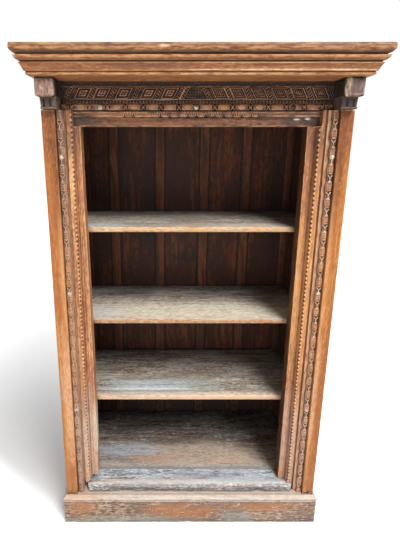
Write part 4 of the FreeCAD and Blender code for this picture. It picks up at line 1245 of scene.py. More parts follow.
@dataclass
class Threshold:
    """Worn sill board in the foot of the opening."""

    nose: float = 8.0
    corner: float = 18.0
    ragged: float = 5.0

    def build(self) -> None:
        """Dress the sill."""
        low, high = box_of("threshold_board")
        section = [
            (high[1], low[2], 0), (low[1] + 3, low[2], 2), (low[1], low[2] + 5, 3),
            (low[1] + 2, low[2] + 0.55 * (high[2] - low[2]), 1),
            (low[1] + 9, high[2] - 3, self.nose), (low[1] + 30, high[2], 8), (high[1], high[2], 0),
        ]
        outline = rounded_outline(section, 2.2)
        places, _ = stations(low[0], high[0], 3.0)
        lattice = swept_lattice(outline, places, Axis.ACROSS)
        self.round_ends(lattice, low, high)
        self.fray(lattice, low)
        middle = (low[2] + high[2]) / 2 * MILLIMETRE
        front = low[1] * MILLIMETRE
        finish = replace(
            THRESHOLD_WOOD,
            name="threshold wood worn",
            stains_and_painted_light=(
                Stain((176, 148, 124), (0.0, front + 0.016, middle + 0.012), (1.2, 0.022, 0.016), 0.5),
                Stain((226, 196, 164), (-0.10, front + 0.020, middle + 0.014), (0.30, 0.012, 0.012), 0.7),
                Stain((96, 82, 76), (0.0, front, middle - 0.004), (1.2, 0.010, 0.008), 0.7),
                Stain((186, 140, 116), (0.10, front + 0.010, middle), (0.22, 0.012, 0.006), 0.6),
            ),
        )
        skin = Skin("threshold_board_worn", seed=53).add(weathered(lattice, 53, 2.0, 1.2))
        skin.dress(finish, Axis.ACROSS, ["threshold_board"])

    def round_ends(self, lattice: np.ndarray, low: np.ndarray, high: np.ndarray) -> None:
        """Round both ends in plan and draw them down.

        Args:
            lattice: Rings of the sill, changed in place.
            low: Lowest corner.
            high: Highest corner.
        """
        left = self.corner - (lattice[..., 0] - low[0])
        right = self.corner - (high[0] - lattice[..., 0])
        inside = np.clip(np.maximum(left, right), 0, self.corner)
        back = self.corner - np.sqrt(np.maximum(self.corner**2 - inside**2, 0))
        lattice[..., 1] = np.maximum(lattice[..., 1], low[1] + back)
        lattice[..., 2] = np.minimum(lattice[..., 2], high[2] - 0.45 * back)

    def fray(self, lattice: np.ndarray, low: np.ndarray) -> None:
        """Wear the lower front edge into a ragged line.

        Args:
            lattice: Rings of the sill, changed in place.
            low: Lowest corner.
        """
        places = lattice.copy()
        places[..., 1:] = 0
        bites = np.clip(noise(places, (55, 1, 1), 5, 4) + 0.35, 0, 1.2)
        front = soft_step(lattice[..., 1], low[1] + 14, low[1])
        foot = soft_step(lattice[..., 2], low[2] + 20, low[2] + 4)
        lattice[..., 1] += self.ragged * bites * front * foot


@dataclass
class Post:
    """Front post, cut back at its head where the frieze passes."""

    side: Side
    arris: float = 3.0
    step: float = 6.0

    def build(self) -> None:
        """Dress the post."""
        name = "front_post_" + self.side.name.lower()
        low, high = box_of(name)
        head_y = box_of("lintel_rail")[0][1] + 5
        shoulder = box_of("frieze_board")[0][2]
        corners = [
            (low[0], low[1], self.arris), (high[0], low[1], self.arris), (high[0], high[1], 1),
            (low[0], high[1], 1),
        ]
        outline = rounded_outline(corners, self.step)
        heights, _ = stations(low[2], shoulder, self.step)
        heights = np.append(heights, [shoulder, high[2]])
        lattice = swept_lattice(outline, heights, Axis.UPRIGHT)
        lattice[-2:, :, 1] = np.maximum(lattice[-2:, :, 1], head_y)
        lattice = weathered(lattice, 61 + self.side.value, 2.2)
        foot = soft_step(lattice[..., 2], low[2] + 26, low[2])
        ragged = np.clip(noise(lattice, (14, 14, 22), 71, 3), 0, 1)
        front = soft_step(lattice[..., 1], low[1] + 10, low[1])
        lattice[..., 1] += 7 * foot * ragged * front
        finish = replace(
            POST_TEAK,
            name="post teak " + self.side.name.lower(),
            stains_and_painted_light=stains_and_painted_light_on(
                Axis.DEPTH, -0.20, 0.1,
                # The first three patches are painted shade at the head, under the cornice.
                (158, 92, 42, self.side.value * 0.483, 1.56, 0.06, 0.40, 0.8),
                (104, 58, 28, self.side.value * 0.463, 1.50, 0.026, 0.34, 0.9),
                (110, 60, 30, self.side.value * 0.483, 1.60, 0.05, 0.15, 0.7),
                (214, 156, 106, self.side.value * 0.463, 1.06, 0.016, 0.30, 0.6),
                (146, 84, 38, 0.496, 0.56, 0.028, 0.60, 0.85),
                (232, 182, 142, -0.470, 0.56, 0.03, 0.30, 0.65),
                (228, 178, 136, 0.466, 0.56, 0.014, 0.34, 0.7),
                (70, 42, 26, self.side.value * 0.483, 0.132, 0.05, 0.016, 0.9),
                (150, 96, 66, self.side.value * 0.483, 0.20, 0.06, 0.07, 0.5),
            ),
        )
        Skin(name + "_worn", seed=5 + self.side.value).add(lattice).dress(finish, Axis.UPRIGHT, [name])


@dataclass
class Jamb:
    """Moulded jamb with a dentilled strip, seen from its opening edge outwards."""

    side: Side
    fillet: float = 17.0
    cove: float = 13.0
    dentil: float = 19.0
    fillet_setback: float = 42.0
    dentil_setback: float = 18.0
    dentil_step: float = 8.0
    groove_setback: float = 28.0
    tooth_pitch: float = 16.0
    tooth_depth: float = 5.5
    tooth_reach: float = 9.0
    torn_rise: float = 24.0
    spall_from: float = 120.0
    spall_length: float = 190.0

    def section(self, width: float, face_y: float, back_y: float) -> np.ndarray:
        """Plan outline of the jamb.

        Args:
            width: How wide the jamb is.
            face_y: Depth of the posts' front face.
            back_y: Depth of the jamb's back.

        Returns:
            Points as distance from the opening edge, and depth.
        """
        fillet_y = face_y + self.fillet_setback
        dentil_y = face_y + self.dentil_setback
        start = self.fillet + self.cove
        end = start + self.dentil
        corners = [
            (0, back_y, 0), (0, fillet_y, 2.5), (self.fillet, fillet_y, 1.2), (self.fillet, fillet_y + 3, 0.5),
            (self.fillet + self.cove * 0.75, fillet_y - 2, 7), (start, dentil_y + self.dentil_step, 0.8),
            (start, dentil_y, 1.2), (end, dentil_y, 1.6), (end, face_y + self.groove_setback, 0.8),
            (width, face_y + self.groove_setback, 0), (width, back_y, 0),
        ]
        return rounded_outline(corners, 1.8)

    def build(self) -> None:
        """Dress the jamb."""
        name = "jamb_" + self.side.name.lower()
        low, high = box_of(name)
        face_y = box_of("front_post_left")[0][1]
        rail_low = box_of("lintel_rail")[0]
        outline = self.section(high[0] - low[0], face_y, high[1])
        opening = high[0] if self.side is Side.LEFT else low[0]
        heights, _ = stations(box_of("deck_board_front")[1][2], high[2], 2.0)
        lattice = swept_lattice(outline, heights, Axis.UPRIGHT)
        across = lattice[..., 0].copy()
        marks = self.marks(lattice, across, face_y)
        self.cut_teeth(lattice, across, face_y)
        if self.side is Side.LEFT:
            marks["raw"] = self.tear(lattice, across, face_y)
            worn_off = np.interp(lattice[..., 2], (700, 950, 1200, 1350, 1560), (0.0, 2.0, 4.0, 7.5, 8.0))
            lattice[..., 0] += worn_off * soft_step(across, self.fillet + 6, self.fillet - 5)
        notch = abs(rail_low[0]) - abs(opening)
        above = lattice[..., 2] > rail_low[2]
        lattice[..., 0] = np.where(above, np.maximum(lattice[..., 0], notch), lattice[..., 0])
        lattice[..., 0] = opening + self.side.value * lattice[..., 0]
        lattice = weathered(lattice, 81 + self.side.value, 1.2, 0.4)
        skin = Skin(name + "_worn", seed=9 + self.side.value).add(lattice, **marks)
        skin.dress(self.finish(), Axis.UPRIGHT, [name])

    def marks(self, lattice: np.ndarray, across: np.ndarray, face_y: float) -> dict[str, np.ndarray]:
        """Gild the dentil strip where hands have rubbed it, paint highlights on its teeth, and paint shade into its
        notches, the groove and the right jamb's inner face.

        Args:
            lattice: Rings with the distance from the opening first.
            across: Distance from the opening before any change.
            face_y: Depth of the posts' front face.

        Returns:
            The marks of tone, shade and shelter.
        """
        start = self.fillet + self.cove
        end = start + self.dentil
        patches = 0.75 + 0.5 * noise(lattice, (26, 26, 120), 21, 4) + 0.4 * noise(lattice, (5, 5, 9), 33, 2)
        up = lattice[..., 2]
        in_strip = (across > start - 1) & (across < end + 0.5) & (lattice[..., 1] < face_y + self.dentil_setback + 1)
        right = self.side is Side.RIGHT
        gilded = soft_step(up, 1540, 1480) * soft_step(up, 1290, 1360) * (0.25 if right else 1.0)
        # Painted highlights on the rounded teeth, and painted shade in the notches between them.
        tooth = np.abs(2 * ((up / self.tooth_pitch) % 1) - 1) ** 0.7
        edge = np.clip(1 - (across - start) / self.tooth_reach, 0, 1)
        tooth_highlight = soft_step(tooth, 0.45, 0.8) * soft_step(edge, 0.15, 0.55)
        tooth_highlight *= np.clip(0.75 + 1.1 * noise(lattice, (60, 60, 17), 27, 3), 0.15, 1)
        notch = soft_step(tooth, 0.42, 0.15) * soft_step(edge, 0.2, 0.6)
        groove = across > end + 0.2
        shade = np.where(in_strip, -0.75 + 1.35 * notch, 0.0) + np.where(groove, 0.35 if right else 0.1, 0.0)
        # Painted shade on the right jamb's inner face.
        inner = (across < 0.5) & (lattice[..., 1] > face_y + self.fillet_setback + 4)
        tone = patches * np.maximum(tooth_highlight, 0.75 * gilded * (1 - notch))
        return {
            "tone": np.where(in_strip, np.clip(tone, 0, 1), 0.0),
            "shade": np.where(inner & right, 1.2, shade),
            "sheltered": np.where(groove | (in_strip & (notch > 0.3)), 1.0, 0.0),
        }

    def finish(self) -> Timber:
        """Timber of this jamb: greyer towards its foot, in painted shade at its head and, on the right, on its inner
        face.
        """
        x = self.side.value * 0.40
        stains_and_painted_light = (
            Stain((204, 176, 158), (x, -0.18, 0.34), (0.08, 0.1, 0.26), 0.6),
            # Painted shade at the head.
            Stain((96, 68, 54), (x, -0.18, 1.59), (0.08, 0.1, 0.15), 0.75),
        )
        if self.side is Side.RIGHT:
            stains_and_painted_light += (
                # Painted shade on the inner face.
                Stain((26, 14, 10), (0.370, -0.120, 0.90), (0.008, 0.038, 6.0), 1.0),
                Stain((140, 76, 26), (0.424, -0.17, 0.90), (0.006, 0.1, 0.80), 0.8),
                Stain((226, 164, 104), (0.40, -0.18, 1.00), (0.05, 0.1, 0.36), 0.6),
            )
        else:
            stains_and_painted_light += (
                Stain((214, 170, 130), (-0.437, -0.17, 0.76), (0.010, 0.1, 0.20), 0.8),
                Stain((224, 214, 200), (-0.381, -0.16, 0.42), (0.006, 0.1, 0.10), 0.9),
                Stain((214, 192, 172), (-0.41, -0.18, 0.40), (0.05, 0.1, 0.20), 0.4),
            )
        base = (192, 124, 70) if self.side is Side.RIGHT else JAMB_TEAK.base
        return replace(JAMB_TEAK, name="jamb teak " + self.side.name.lower(), base=base, stains_and_painted_light=stains_and_painted_light)

    def cut_teeth(self, lattice: np.ndarray, across: np.ndarray, face_y: float) -> None:
        """Notch the inner edge of the dentil strip.

        Args:
            lattice: Rings with the distance from the opening first, changed in place.
            across: Distance from the opening before any change.
            face_y: Depth of the posts' front face.
        """
        start = self.fillet + self.cove
        phase = (lattice[..., 2] / self.tooth_pitch) % 1
        notch = 1 - np.abs(2 * phase - 1) ** 0.7
        nearness = np.clip(1 - (across - start) / self.tooth_reach, 0, 1)
        in_strip = (across >= start - 0.01) & (lattice[..., 1] < face_y + self.groove_setback + 1)
        in_strip &= across < start + self.tooth_reach
        lattice[..., 0] += np.where(in_strip, notch * self.tooth_depth * nearness, 0)
        lattice[..., 1] += np.where(in_strip, (1 - nearness) * nearness * 2.2 * (1 - notch), 0)

    def tear(self, lattice: np.ndarray, across: np.ndarray, face_y: float) -> np.ndarray:
        """Tear the foot and split a long splinter off the inner arris.

        Args:
            lattice: Rings with the distance from the opening first, changed in place.
            across: Distance from the opening before any change.
            face_y: Depth of the posts' front face.

        Returns:
            Share of bare wood at each point.
        """
        foot = lattice[..., 2].min()
        height = lattice[..., 2] - foot
        rise = self.torn_rise * np.interp(across, (0, 12, 21, 35, 48), (1.0, 0.7, 0.85, 0.3, 0.0))
        lattice[..., 2] += rise * soft_step(height, 70, 0)
        along = (height - self.spall_from) / self.spall_length
        shape = soft_step(along, 0.0, 0.10) * soft_step(along, 1.0, 0.55)
        wave = 0.75 + 0.25 * noise(lattice, (1e6, 1e6, 40), 3, 3)
        depth = 9.0 * shape * wave
        near = (across < 12) & (lattice[..., 1] < face_y + self.fillet_setback + 18)
        cut = np.where(near, depth, 0)
        bare = near & (lattice[..., 0] < depth + 0.6) & (depth > 0.8)
        lattice[..., 0] = np.where(near, np.maximum(lattice[..., 0], cut), lattice[..., 0])
        edge = soft_step(height, 5, 1) * soft_step(across, 49, 40)
        return np.clip(np.where(bare, 0.95, 0.0) + 0.5 * edge, 0, 1)


@dataclass
class Roll:
    """Carved roll of long beads and short reels between jamb and post."""

    side: Side
    width: float = 24.0
    quirk: float = 0.3
    setback: float = 8.0
    pitch: float = 57.0

    def build(self) -> None:
        """Dress the roll."""
        name = "roll_moulding_" + self.side.name.lower()
        low, high = box_of(name)
        face_y = box_of("front_post_left")[0][1]
        outer = self.side.value * (high[0] if self.side is Side.RIGHT else -low[0])
        axis_x = abs(outer) - self.width / 2
        inner = min(abs(low[0]), abs(high[0]))
        radius = self.width / 2 - self.quirk
        axis_y = face_y + self.setback + radius
        angles = np.radians(np.linspace(0, 180, 27))
        nose = np.stack([axis_x + radius * np.cos(angles), axis_y - radius * np.sin(angles) ** 0.6], axis=1)
        back = [(abs(outer), high[1]), (abs(outer), axis_y + 1)]
        front = [(inner, axis_y + 1), (inner, high[1])]
        outline = np.concatenate([[back[0], back[1]], nose, front])
        heights, _ = stations(low[2], high[2], 1.9)
        lattice = swept_lattice(outline, heights, Axis.UPRIGHT)
        count = len(nose)
        turn = np.zeros(len(outline))
        turn[2 : 2 + count] = (angles / math.pi) * 2 - 1
        on_nose = np.zeros(len(outline))
        on_nose[3 : 1 + count] = 1
        depth, crests = self.carving(turn[None, :], heights[:, None] - low[2])
        outward = np.zeros((len(outline), 2))
        outward[2 : 2 + count] = np.stack([np.cos(angles), -np.sin(angles)], axis=1)
        lattice[..., :2] -= (depth * on_nose)[..., None] * outward
        lattice[..., 0] *= self.side.value
        lattice = weathered(lattice, 91 + self.side.value, 1.0, 0.3)
        # Painted shade on the flanks of the nose and on the carved ground.
        flank_shade = 0.1 * on_nose * soft_step(np.abs(turn), 0.85, 0.98)
        ground = np.clip(depth / 2.6, 0, 1) * on_nose * (0.4 if self.side is Side.RIGHT else 0.25)
        beside = np.broadcast_to(1.0 - on_nose, depth.shape)
        marks = {"tone": crests * on_nose, "shade": ground + flank_shade, "sheltered": beside}
        skin = Skin(name + "_worn", seed=13 + self.side.value).add(lattice, **marks)
        skin.dress(self.finish(), Axis.UPRIGHT, [name])

    def finish(self) -> Timber:
        """Timber of this roll: grey-brown and in painted shade at its head, warmer and redder lower down."""
        x = self.side.value * 0.449
        stains_and_painted_light = (
            Stain((198, 140, 92), (x, -0.18, 0.90), (0.05, 0.1, 0.44), 0.5),
            Stain((200, 166, 146), (x, -0.18, 0.36), (0.05, 0.1, 0.26), 0.55),
            # Painted shade at the head.
            Stain((106, 78, 60), (x, -0.18, 1.58), (0.05, 0.1, 0.17), 0.65),
        )
        if self.side is Side.LEFT:
            return replace(ROLL_TEAK, name="roll teak left", stains_and_painted_light=stains_and_painted_light)
        stains_and_painted_light += (Stain((172, 106, 58), (0.432, -0.17, 0.95), (0.006, 0.1, 0.90), 0.8),)
        browns = {"base": (168, 110, 70), "pale": (212, 154, 104), "tint": (126, 82, 62)}
        return replace(ROLL_TEAK, name="roll teak right", stains_and_painted_light=stains_and_painted_light, **browns)

    def carving(self, turn: np.ndarray, height: np.ndarray) -> tuple[np.ndarray, np.ndarray]:
        """Depth of the carving, and where its crests are rubbed pale.

        Args:
            turn: Place round the nose, from -1 to 1.
            height: Height above the roll's foot.

        Returns:
            Depth of the cut, and the share of rubbed wood.
        """
        rise = (height / self.pitch % 1 - 0.5) * self.pitch
        away = np.abs(rise)
        across = 11.0 * np.sin(turn * math.pi / 2)
        reel = soft_step(away, 15, 11)
        fork = stroke((np.abs(across) * 1.15 - rise) * 0.66, 1.5, 1.3)
        fork = fork * soft_step(rise, -1, 1) * soft_step(rise, 12, 9)
        stem = stroke(across, 1.6, 1.2) * soft_step(rise, 2, 0) * soft_step(rise, -13, -10)
        bars = stroke(rise + 11.5, 1.3, 1.2) * stroke(across, 5.0, 1.5)
        crest = np.maximum(np.maximum(fork, stem), bars)
        tip = stroke(away - 15 - 6 * (1 - np.abs(turn)) ** 1.5, 1.2, 1.4)
        edge = 1.2 * stroke(np.abs(across) - 8.6, 0.7, 1.0) * soft_step(away, 12, 16)
        places = np.stack(np.broadcast_arrays(turn * 11, turn * 0, height), -1)
        whole = np.clip(0.8 + 0.9 * noise(places, (9, 9, 70), 7, 3), 0.2, 1)
        depth = (2.6 * reel * (1 - crest) + 1.2 * tip + edge) * (0.4 + 0.6 * whole)
        strength, pale = (1.0, 1.0) if self.side is Side.RIGHT else (0.7, 0.2)
        return strength * depth, crest * pale * whole * np.clip(0.8 + noise(places, (5, 5, 12), 9, 2), 0, 1)


@dataclass
class Lintel:
    """Rail over the opening: a worn fascia under a band of leaves."""

    fascia: float = 28.0
    fascia_step: float = 2.0
    leaf_pitch: float = 30.0
    proud: float = 5.0

    def build(self) -> None:
        """Dress the rail."""
        low, high = box_of("lintel_rail")
        plane = low[1] + self.proud
        bead = low[2] + self.fascia
        section = [
            (high[1], low[2], 0), (plane + self.fascia_step, low[2], 2.5), (plane + self.fascia_step, bead, 0.6),
            (plane, bead + 0.5, 0.6), (low[1], bead + 4, 5), (low[1], high[2] - 4, 5), (plane, high[2], 0.6),
            (high[1], high[2], 0),
        ]
        outline = rounded_outline(section, 1.6)
        places, _ = stations(low[0], high[0], 1.8)
        lattice = swept_lattice(outline, places, Axis.ACROSS)
        up = (lattice[..., 2] - bead) / (high[2] - bead)
        front = (up > 0.02) & (lattice[..., 1] < plane + 0.5)
        cut = np.where(front, self.leaves(lattice[..., 0], up), 0)
        shade = np.clip(cut / 4, 0, 0.5)
        tone = np.where(front, np.clip(0.2 - cut / 4 + 0.5 * noise(lattice, (24, 30, 5), 27, 3), 0, 0.45), 0)
        lattice[..., 1] += cut
        lattice = weathered(lattice, 101, 1.6, 0.8)
        finish = replace(
            LINTEL_TEAK,
            name="lintel teak worn",
            stains_and_painted_light=stains_and_painted_light_on(
                Axis.DEPTH, -0.155, 0.1,
                (170, 116, 76, -0.24, 1.615, 0.12, 0.016, 0.6),
                (162, 94, 54, -0.16, 1.590, 0.20, 0.005, 0.7),
                (156, 92, 58, 0.10, 1.597, 0.18, 0.004, 0.6),
                (70, 54, 48, -0.395, 1.60, 0.07, 0.030, 0.8),
                (62, 46, 40, -0.385, 1.614, 0.045, 0.016, 0.85),
                (84, 58, 44, 0.28, 1.618, 0.17, 0.014, 0.6),
                (90, 62, 48, -0.05, 1.6265, 0.50, 0.003, 0.8),
                (60, 48, 50, 0.36, 1.60, 0.08, 0.030, 0.85),
                (214, 206, 190, 0.334, 1.603, 0.010, 0.003, 1.0),
                (220, 214, 198, 0.371, 1.606, 0.009, 0.004, 1.0),
            ),
        )
        skin = Skin("lintel_rail_worn", seed=17).add(lattice, tone=tone, shade=shade)
        skin.dress(finish, Axis.ACROSS, ["lintel_rail"])

    def leaves(self, x: np.ndarray, up: np.ndarray) -> np.ndarray:
        """Depth of the leaf band's carving.

        Args:
            x: Place across the bookcase.
            up: Share of the way up the band.

        Returns:
            Millimetres cut away at each point.
        """
        phase = (x / self.leaf_pitch) % 1 - 0.5
        tip = np.abs(phase) * 2
        down = 1 - np.clip(up, 0, 1)
        places = np.stack(np.broadcast_arrays(x, x * 0, up * 10), -1)
        worn = np.clip(0.75 + 0.8 * noise(places, (45, 9, 9), 37, 3), 0.15, 1)
        outline = tip - (0.12 + 0.88 * np.sqrt(np.maximum(1 - down**2, 0)))
        ground = 2.4 * soft_step(outline, -0.1, 0.2)
        rib = 0.9 * stroke(phase * self.leaf_pitch, 0.7, 1.0) * soft_step(up, 0.15, 0.35)
        curl = 1.6 * stroke(outline + 0.30, 0.06, 0.12)
        fade = soft_step(x, -265, -225) * soft_step(x, 250, 190) * 0.85 + 0.15
        return (ground + rib + curl) * fade * worn


@dataclass
class Frieze:
    """Carved board over the lintel: cartouches, a zigzag, leaning lozenges and a top band in painted shadow under
    the cornice.
    """

    half_width: float = 505.0
    rosette_band: float = 22.0
    zigzag_band: float = 14.0
    lozenge_band: float = 39.0
    lozenge_relief: float = 3.0
    rosette_proud: float = 5.0
    lozenge_half: float = 22.0
    lozenge_rise: float = 17.0
    lean: float = 9.0
    cross_pitch: float = 59.0
    left_shares: tuple[float, ...] = (-0.743, -0.620, -0.477, -0.315, -0.178)
    right_shares: tuple[float, ...] = (0.149, 0.269, 0.406, 0.539, 0.663, 0.806)
    bars: tuple[float, ...] = (-424.0, -344.0, -277.0, -200.0, -125.0, -54.0, -41.0)
    right_bars: tuple[float, ...] = (33.0, 105.0, 170.0, 239.0, 304.0, 371.0)

    def build(self) -> None:
        """Dress the board."""
        low, high = box_of("frieze_board")
        plane = low[1] + self.rosette_proud
        rosette_top = low[2] + self.rosette_band
        section = [
            (high[1], low[2], 0), (plane, low[2], 0.5), (low[1] + 1, low[2] + 3, 3),
            (low[1], low[2] + self.rosette_band / 2, 6), (low[1] + 1, rosette_top - 3, 3),
            (plane, rosette_top, 0.5), (plane, high[2], 0), (high[1], high[2], 0),
        ]
        outline = rounded_outline(section, 1.25)
        places, _ = stations(low[0], high[0], 1.3)
        lattice = swept_lattice(outline, places, Axis.ACROSS)
        front = (lattice[..., 1] < plane + 0.4) & (lattice[..., 2] > low[2] + 0.2)
        cut, crest = self.carving(lattice[..., 0], lattice[..., 2] - low[2])
        rubbed = np.clip(0.75 + 0.7 * noise(lattice, (60, 60, 9), 43, 4), 0.15, 1)
        height = lattice[..., 2] - low[2] - self.rosette_band
        lozenges = (height > self.zigzag_band) & (height < self.zigzag_band + self.lozenge_band)
        marks = {
            "tone": np.where(front, crest * rubbed, 0),
            "shade": np.where(front, np.clip(cut / 5, 0, 0.8), 0),
            "sheltered": np.where(height > 0, np.where(lozenges, 0.3, 0.8), 0),
        }
        lattice[..., 1] += np.where(front, cut, 0)
        bracket = abs(box_of("bracket_left")[1][0])
        behind = (np.abs(lattice[..., 0]) > bracket) & (lattice[..., 1] < plane)
        lattice[..., 1] = np.where(behind, plane, lattice[..., 1])
        lattice = weathered(lattice, 111, 0.8, 0.3)
        finish = replace(
            FRIEZE_TEAK,
            name="frieze teak worn",
            stains_and_painted_light=(
                Stain((170, 120, 80), (-0.10, -0.157, 1.641), (0.17, 0.1, 0.011), 0.7),
                Stain((150, 102, 74), (-0.33, -0.157, 1.640), (0.08, 0.1, 0.011), 0.6),
                Stain((150, 112, 88), (0.03, -0.157, 1.641), (0.05, 0.1, 0.010), 0.6),
                Stain((184, 138, 62), (0.086, -0.157, 1.640), (0.022, 0.1, 0.010), 0.8),
                Stain((178, 120, 76), (0.269, -0.157, 1.643), (0.040, 0.1, 0.009), 0.7),
                Stain((176, 100, 84), (0.375, -0.157, 1.643), (0.045, 0.1, 0.008), 0.7),
                Stain((214, 168, 148), (-0.215, -0.157, 1.6665), (0.050, 0.1, 0.004), 1.0),
                Stain((214, 168, 148), (-0.100, -0.157, 1.6665), (0.026, 0.1, 0.004), 1.0),
                # Painted shade: round the two nail heads, in the gap at the right end, along the top under the
                # cornice, and at both ends beside the brackets.
                Stain((36, 20, 14), (-0.319, -0.157, 1.643), (0.013, 0.1, 0.012), 0.9),
                Stain((36, 20, 14), (-0.002, -0.157, 1.643), (0.013, 0.1, 0.012), 0.9),
                Stain((12, 8, 6), (0.451, -0.158, 1.631), (0.020, 0.1, 0.005), 1.0),
                Stain((34, 20, 15), (0.0, -0.157, 1.716), (1.60, 0.1, 0.016), 0.95),
                Stain((44, 28, 22), (0.44, -0.157, 1.67), (0.040, 0.1, 0.080), 0.8),
                Stain((44, 28, 22), (-0.45, -0.157, 1.67), (0.030, 0.1, 0.080), 0.8),
            ),
        )
        Skin("frieze_board_worn", seed=19).add(lattice, **marks).dress(finish, Axis.ACROSS, ["frieze_board"])

    def carving(self, x: np.ndarray, up: np.ndarray) -> tuple[np.ndarray, np.ndarray]:
        """Depth of all the carving on the board's face, and where it is rubbed pale.

        Args:
            x: Place across the bookcase.
            up: Height above the board's foot.

        Returns:
            Depth of the cut, and the share of rubbed wood.
        """
        zigzag_from = self.rosette_band
        lozenge_from = zigzag_from + self.zigzag_band
        dark_from = lozenge_from + self.lozenge_band
        top = 0.8 + 1.4 * self.chevron(x, up - dark_from - 8, 13.0, 4.5)
        bands = [
            (up < zigzag_from, self.cartouches(x, up)),
            (up < lozenge_from, self.zigzag(x, up - zigzag_from)),
            (up < dark_from, self.lozenges(x, up - lozenge_from - self.lozenge_band / 2)),
            (up >= dark_from, (top, 0.2 * stroke(up - dark_from - 1, 0.9, 1.0))),
        ]
        here = [band for band, _ in bands]
        return tuple(np.select(here, [found[part] for _, found in bands]) for part in (0, 1))

    def chevron(self, x: np.ndarray, up: np.ndarray, pitch: float, height: float) -> np.ndarray:
        """Zigzag line with teeth of one pitch, rising by its height to both sides of its middle."""
        wave = (np.abs((x / pitch) % 1 - 0.5) * 4 - 1) * height
        return stroke(up - wave, 1.4, 1.4)

    def cartouches(self, x: np.ndarray, up: np.ndarray) -> tuple[np.ndarray, np.ndarray]:
        """Depth and rubbed share in the band of worn cartouches and crosses.

        Args:
            x: Place across the bookcase.
            up: Height above the board's foot.

        Returns:
            Depth of the cut, and the share of rubbed wood.
        """
        across = (x / self.cross_pitch + 0.5) % 1 * self.cross_pitch - self.cross_pitch / 2
        rise = up - self.rosette_band / 2
        away = np.abs(across)
        arms = stroke((away - np.abs(rise) * 0.8) * 0.78, 1.5, 1.2)
        near_cross = stroke(away, 9.5, 1.5)
        ground = 3.4 * near_cross * (1 - arms)
        rim = 1.1 * stroke(away - 12.5, 0.9, 1.1)
        oval = np.hypot((away - self.cross_pitch / 2) / 15, rise / 8)
        ring = 0.8 * stroke((oval - 0.9) * 9, 0.8, 1.2)
        worn = 0.35 + 0.65 * soft_step(x, -300, -190) * (1 - 0.4 * soft_step(x, 210, 300))
        lines = 2.0 * (stroke(up - 1.2, 0.8, 1.0) + stroke(up - self.rosette_band + 1.0, 0.8, 1.0))
        swollen = soft_step(oval, 1.0, 0.7) * 0.55 + near_cross * arms * 0.35 * worn
        return (ground + rim + ring) * worn + lines, swollen * (1 - 0.5 * soft_step(x, 150, 300))

    def zigzag(self, x: np.ndarray, up: np.ndarray) -> tuple[np.ndarray, np.ndarray]:
        """Depth and rubbed share in the narrow zigzag band.

        Args:
            x: Place across the bookcase.
            up: Height above the band's foot.

        Returns:
            Depth of the cut, and the share of rubbed wood.
        """
        phase = (x / 11.0) % 1
        teeth = soft_step((up - 2) / 10 - np.abs(phase * 2 - 1), -0.12, 0.12)
        edge = stroke(up - self.zigzag_band / 2, 5.2, 1.5)
        ledge = soft_step(up, 10, 12) * (0.7 * soft_step(x, -285, -260) * soft_step(x, -60, -90) + 0.2 * (x > 0))
        return 1.0 + 2.4 * teeth * edge, np.maximum(ledge, 0.09 * (1 - teeth) * edge)

    def lozenges(self, x: np.ndarray, rise: np.ndarray) -> tuple[np.ndarray, np.ndarray]:
        """Depth and rubbed share in the band of leaning lozenges and chequered bars.

        Args:
            x: Place across the bookcase.
            rise: Height above the band's middle.

        Returns:
            Depth of the cut, and the share of rubbed wood.
        """
        heights, pales, taken = [], [], []
        slope = rise / self.lozenge_rise
        for shares, lean, ringed in ((self.left_shares, self.lean, 0.2), (self.right_shares, -self.lean, 0.8)):
            for share in shares:
                along = x - share * self.half_width - lean * slope
                size = np.maximum(np.abs(along) / self.lozenge_half, np.abs(slope))
                outer = stroke((size - 0.92) * 20, 1.5, 1.0)
                inner = ringed * stroke((size - 0.58) * 20, 1.3, 1.0)
                petals = soft_step(np.abs(np.sin(2 * np.arctan2(rise * 1.2, along))), 0.55, 0.85)
                seeds = petals * stroke(np.hypot(along, rise * 1.2) - 7.0 + 2.5 * ringed, 1.8, 1.2)
                panel = soft_step(size, 0.72 - 0.3 * ringed, 0.54 - 0.3 * ringed) * (1 - 0.8 * seeds)
                heights += [outer, 0.8 * inner, 0.8 * panel]
                pales += [0.7 * outer, 0.5 * inner, 0.16 * panel]
                taken.append(size < 1.1)
        for places, lean in ((self.bars, self.lean), (self.right_bars, -self.lean)):
            for place in places:
                along = x - place - lean * slope
                slats = stroke(np.abs(along) - 7.5, 1.2, 1.0)
                chequer = np.sin(rise * math.pi / 4.0) * np.sign(along)
                beads = stroke(along, 5.0, 1.0) * soft_step(chequer, -0.1, 0.3) * 0.9
                heights += [slats, beads]
                pales += [0.65 * slats, 0.45 * beads]
                taken.append(np.abs(along) < 11)
        middle = stroke(x + 4, 30, 3)
        net = 0.45 * np.maximum(stroke(((x / 9) % 1 - 0.5) * 9, 1.0), stroke(((rise / 9) % 1 - 0.5) * 9, 0.8))
        net = middle * net
        leaning = x - np.where(x < 0, self.lean, -self.lean) * slope
        free = 1 - np.maximum(np.any(taken, axis=0), middle)
        filling = free * stroke(((leaning / 7.5) % 1 - 0.5) * 7.5, 1.2, 1.0)
        border = stroke(np.abs(rise) - self.lozenge_band / 2, 1.4, 1.0)
        raised = np.maximum.reduce([*heights, net, 0.7 * filling, border])
        crest = np.maximum.reduce([*pales, 0.5 * net, 0.45 * filling, 0.35 * border])
        return self.lozenge_relief * 1.35 * (1 - raised), crest


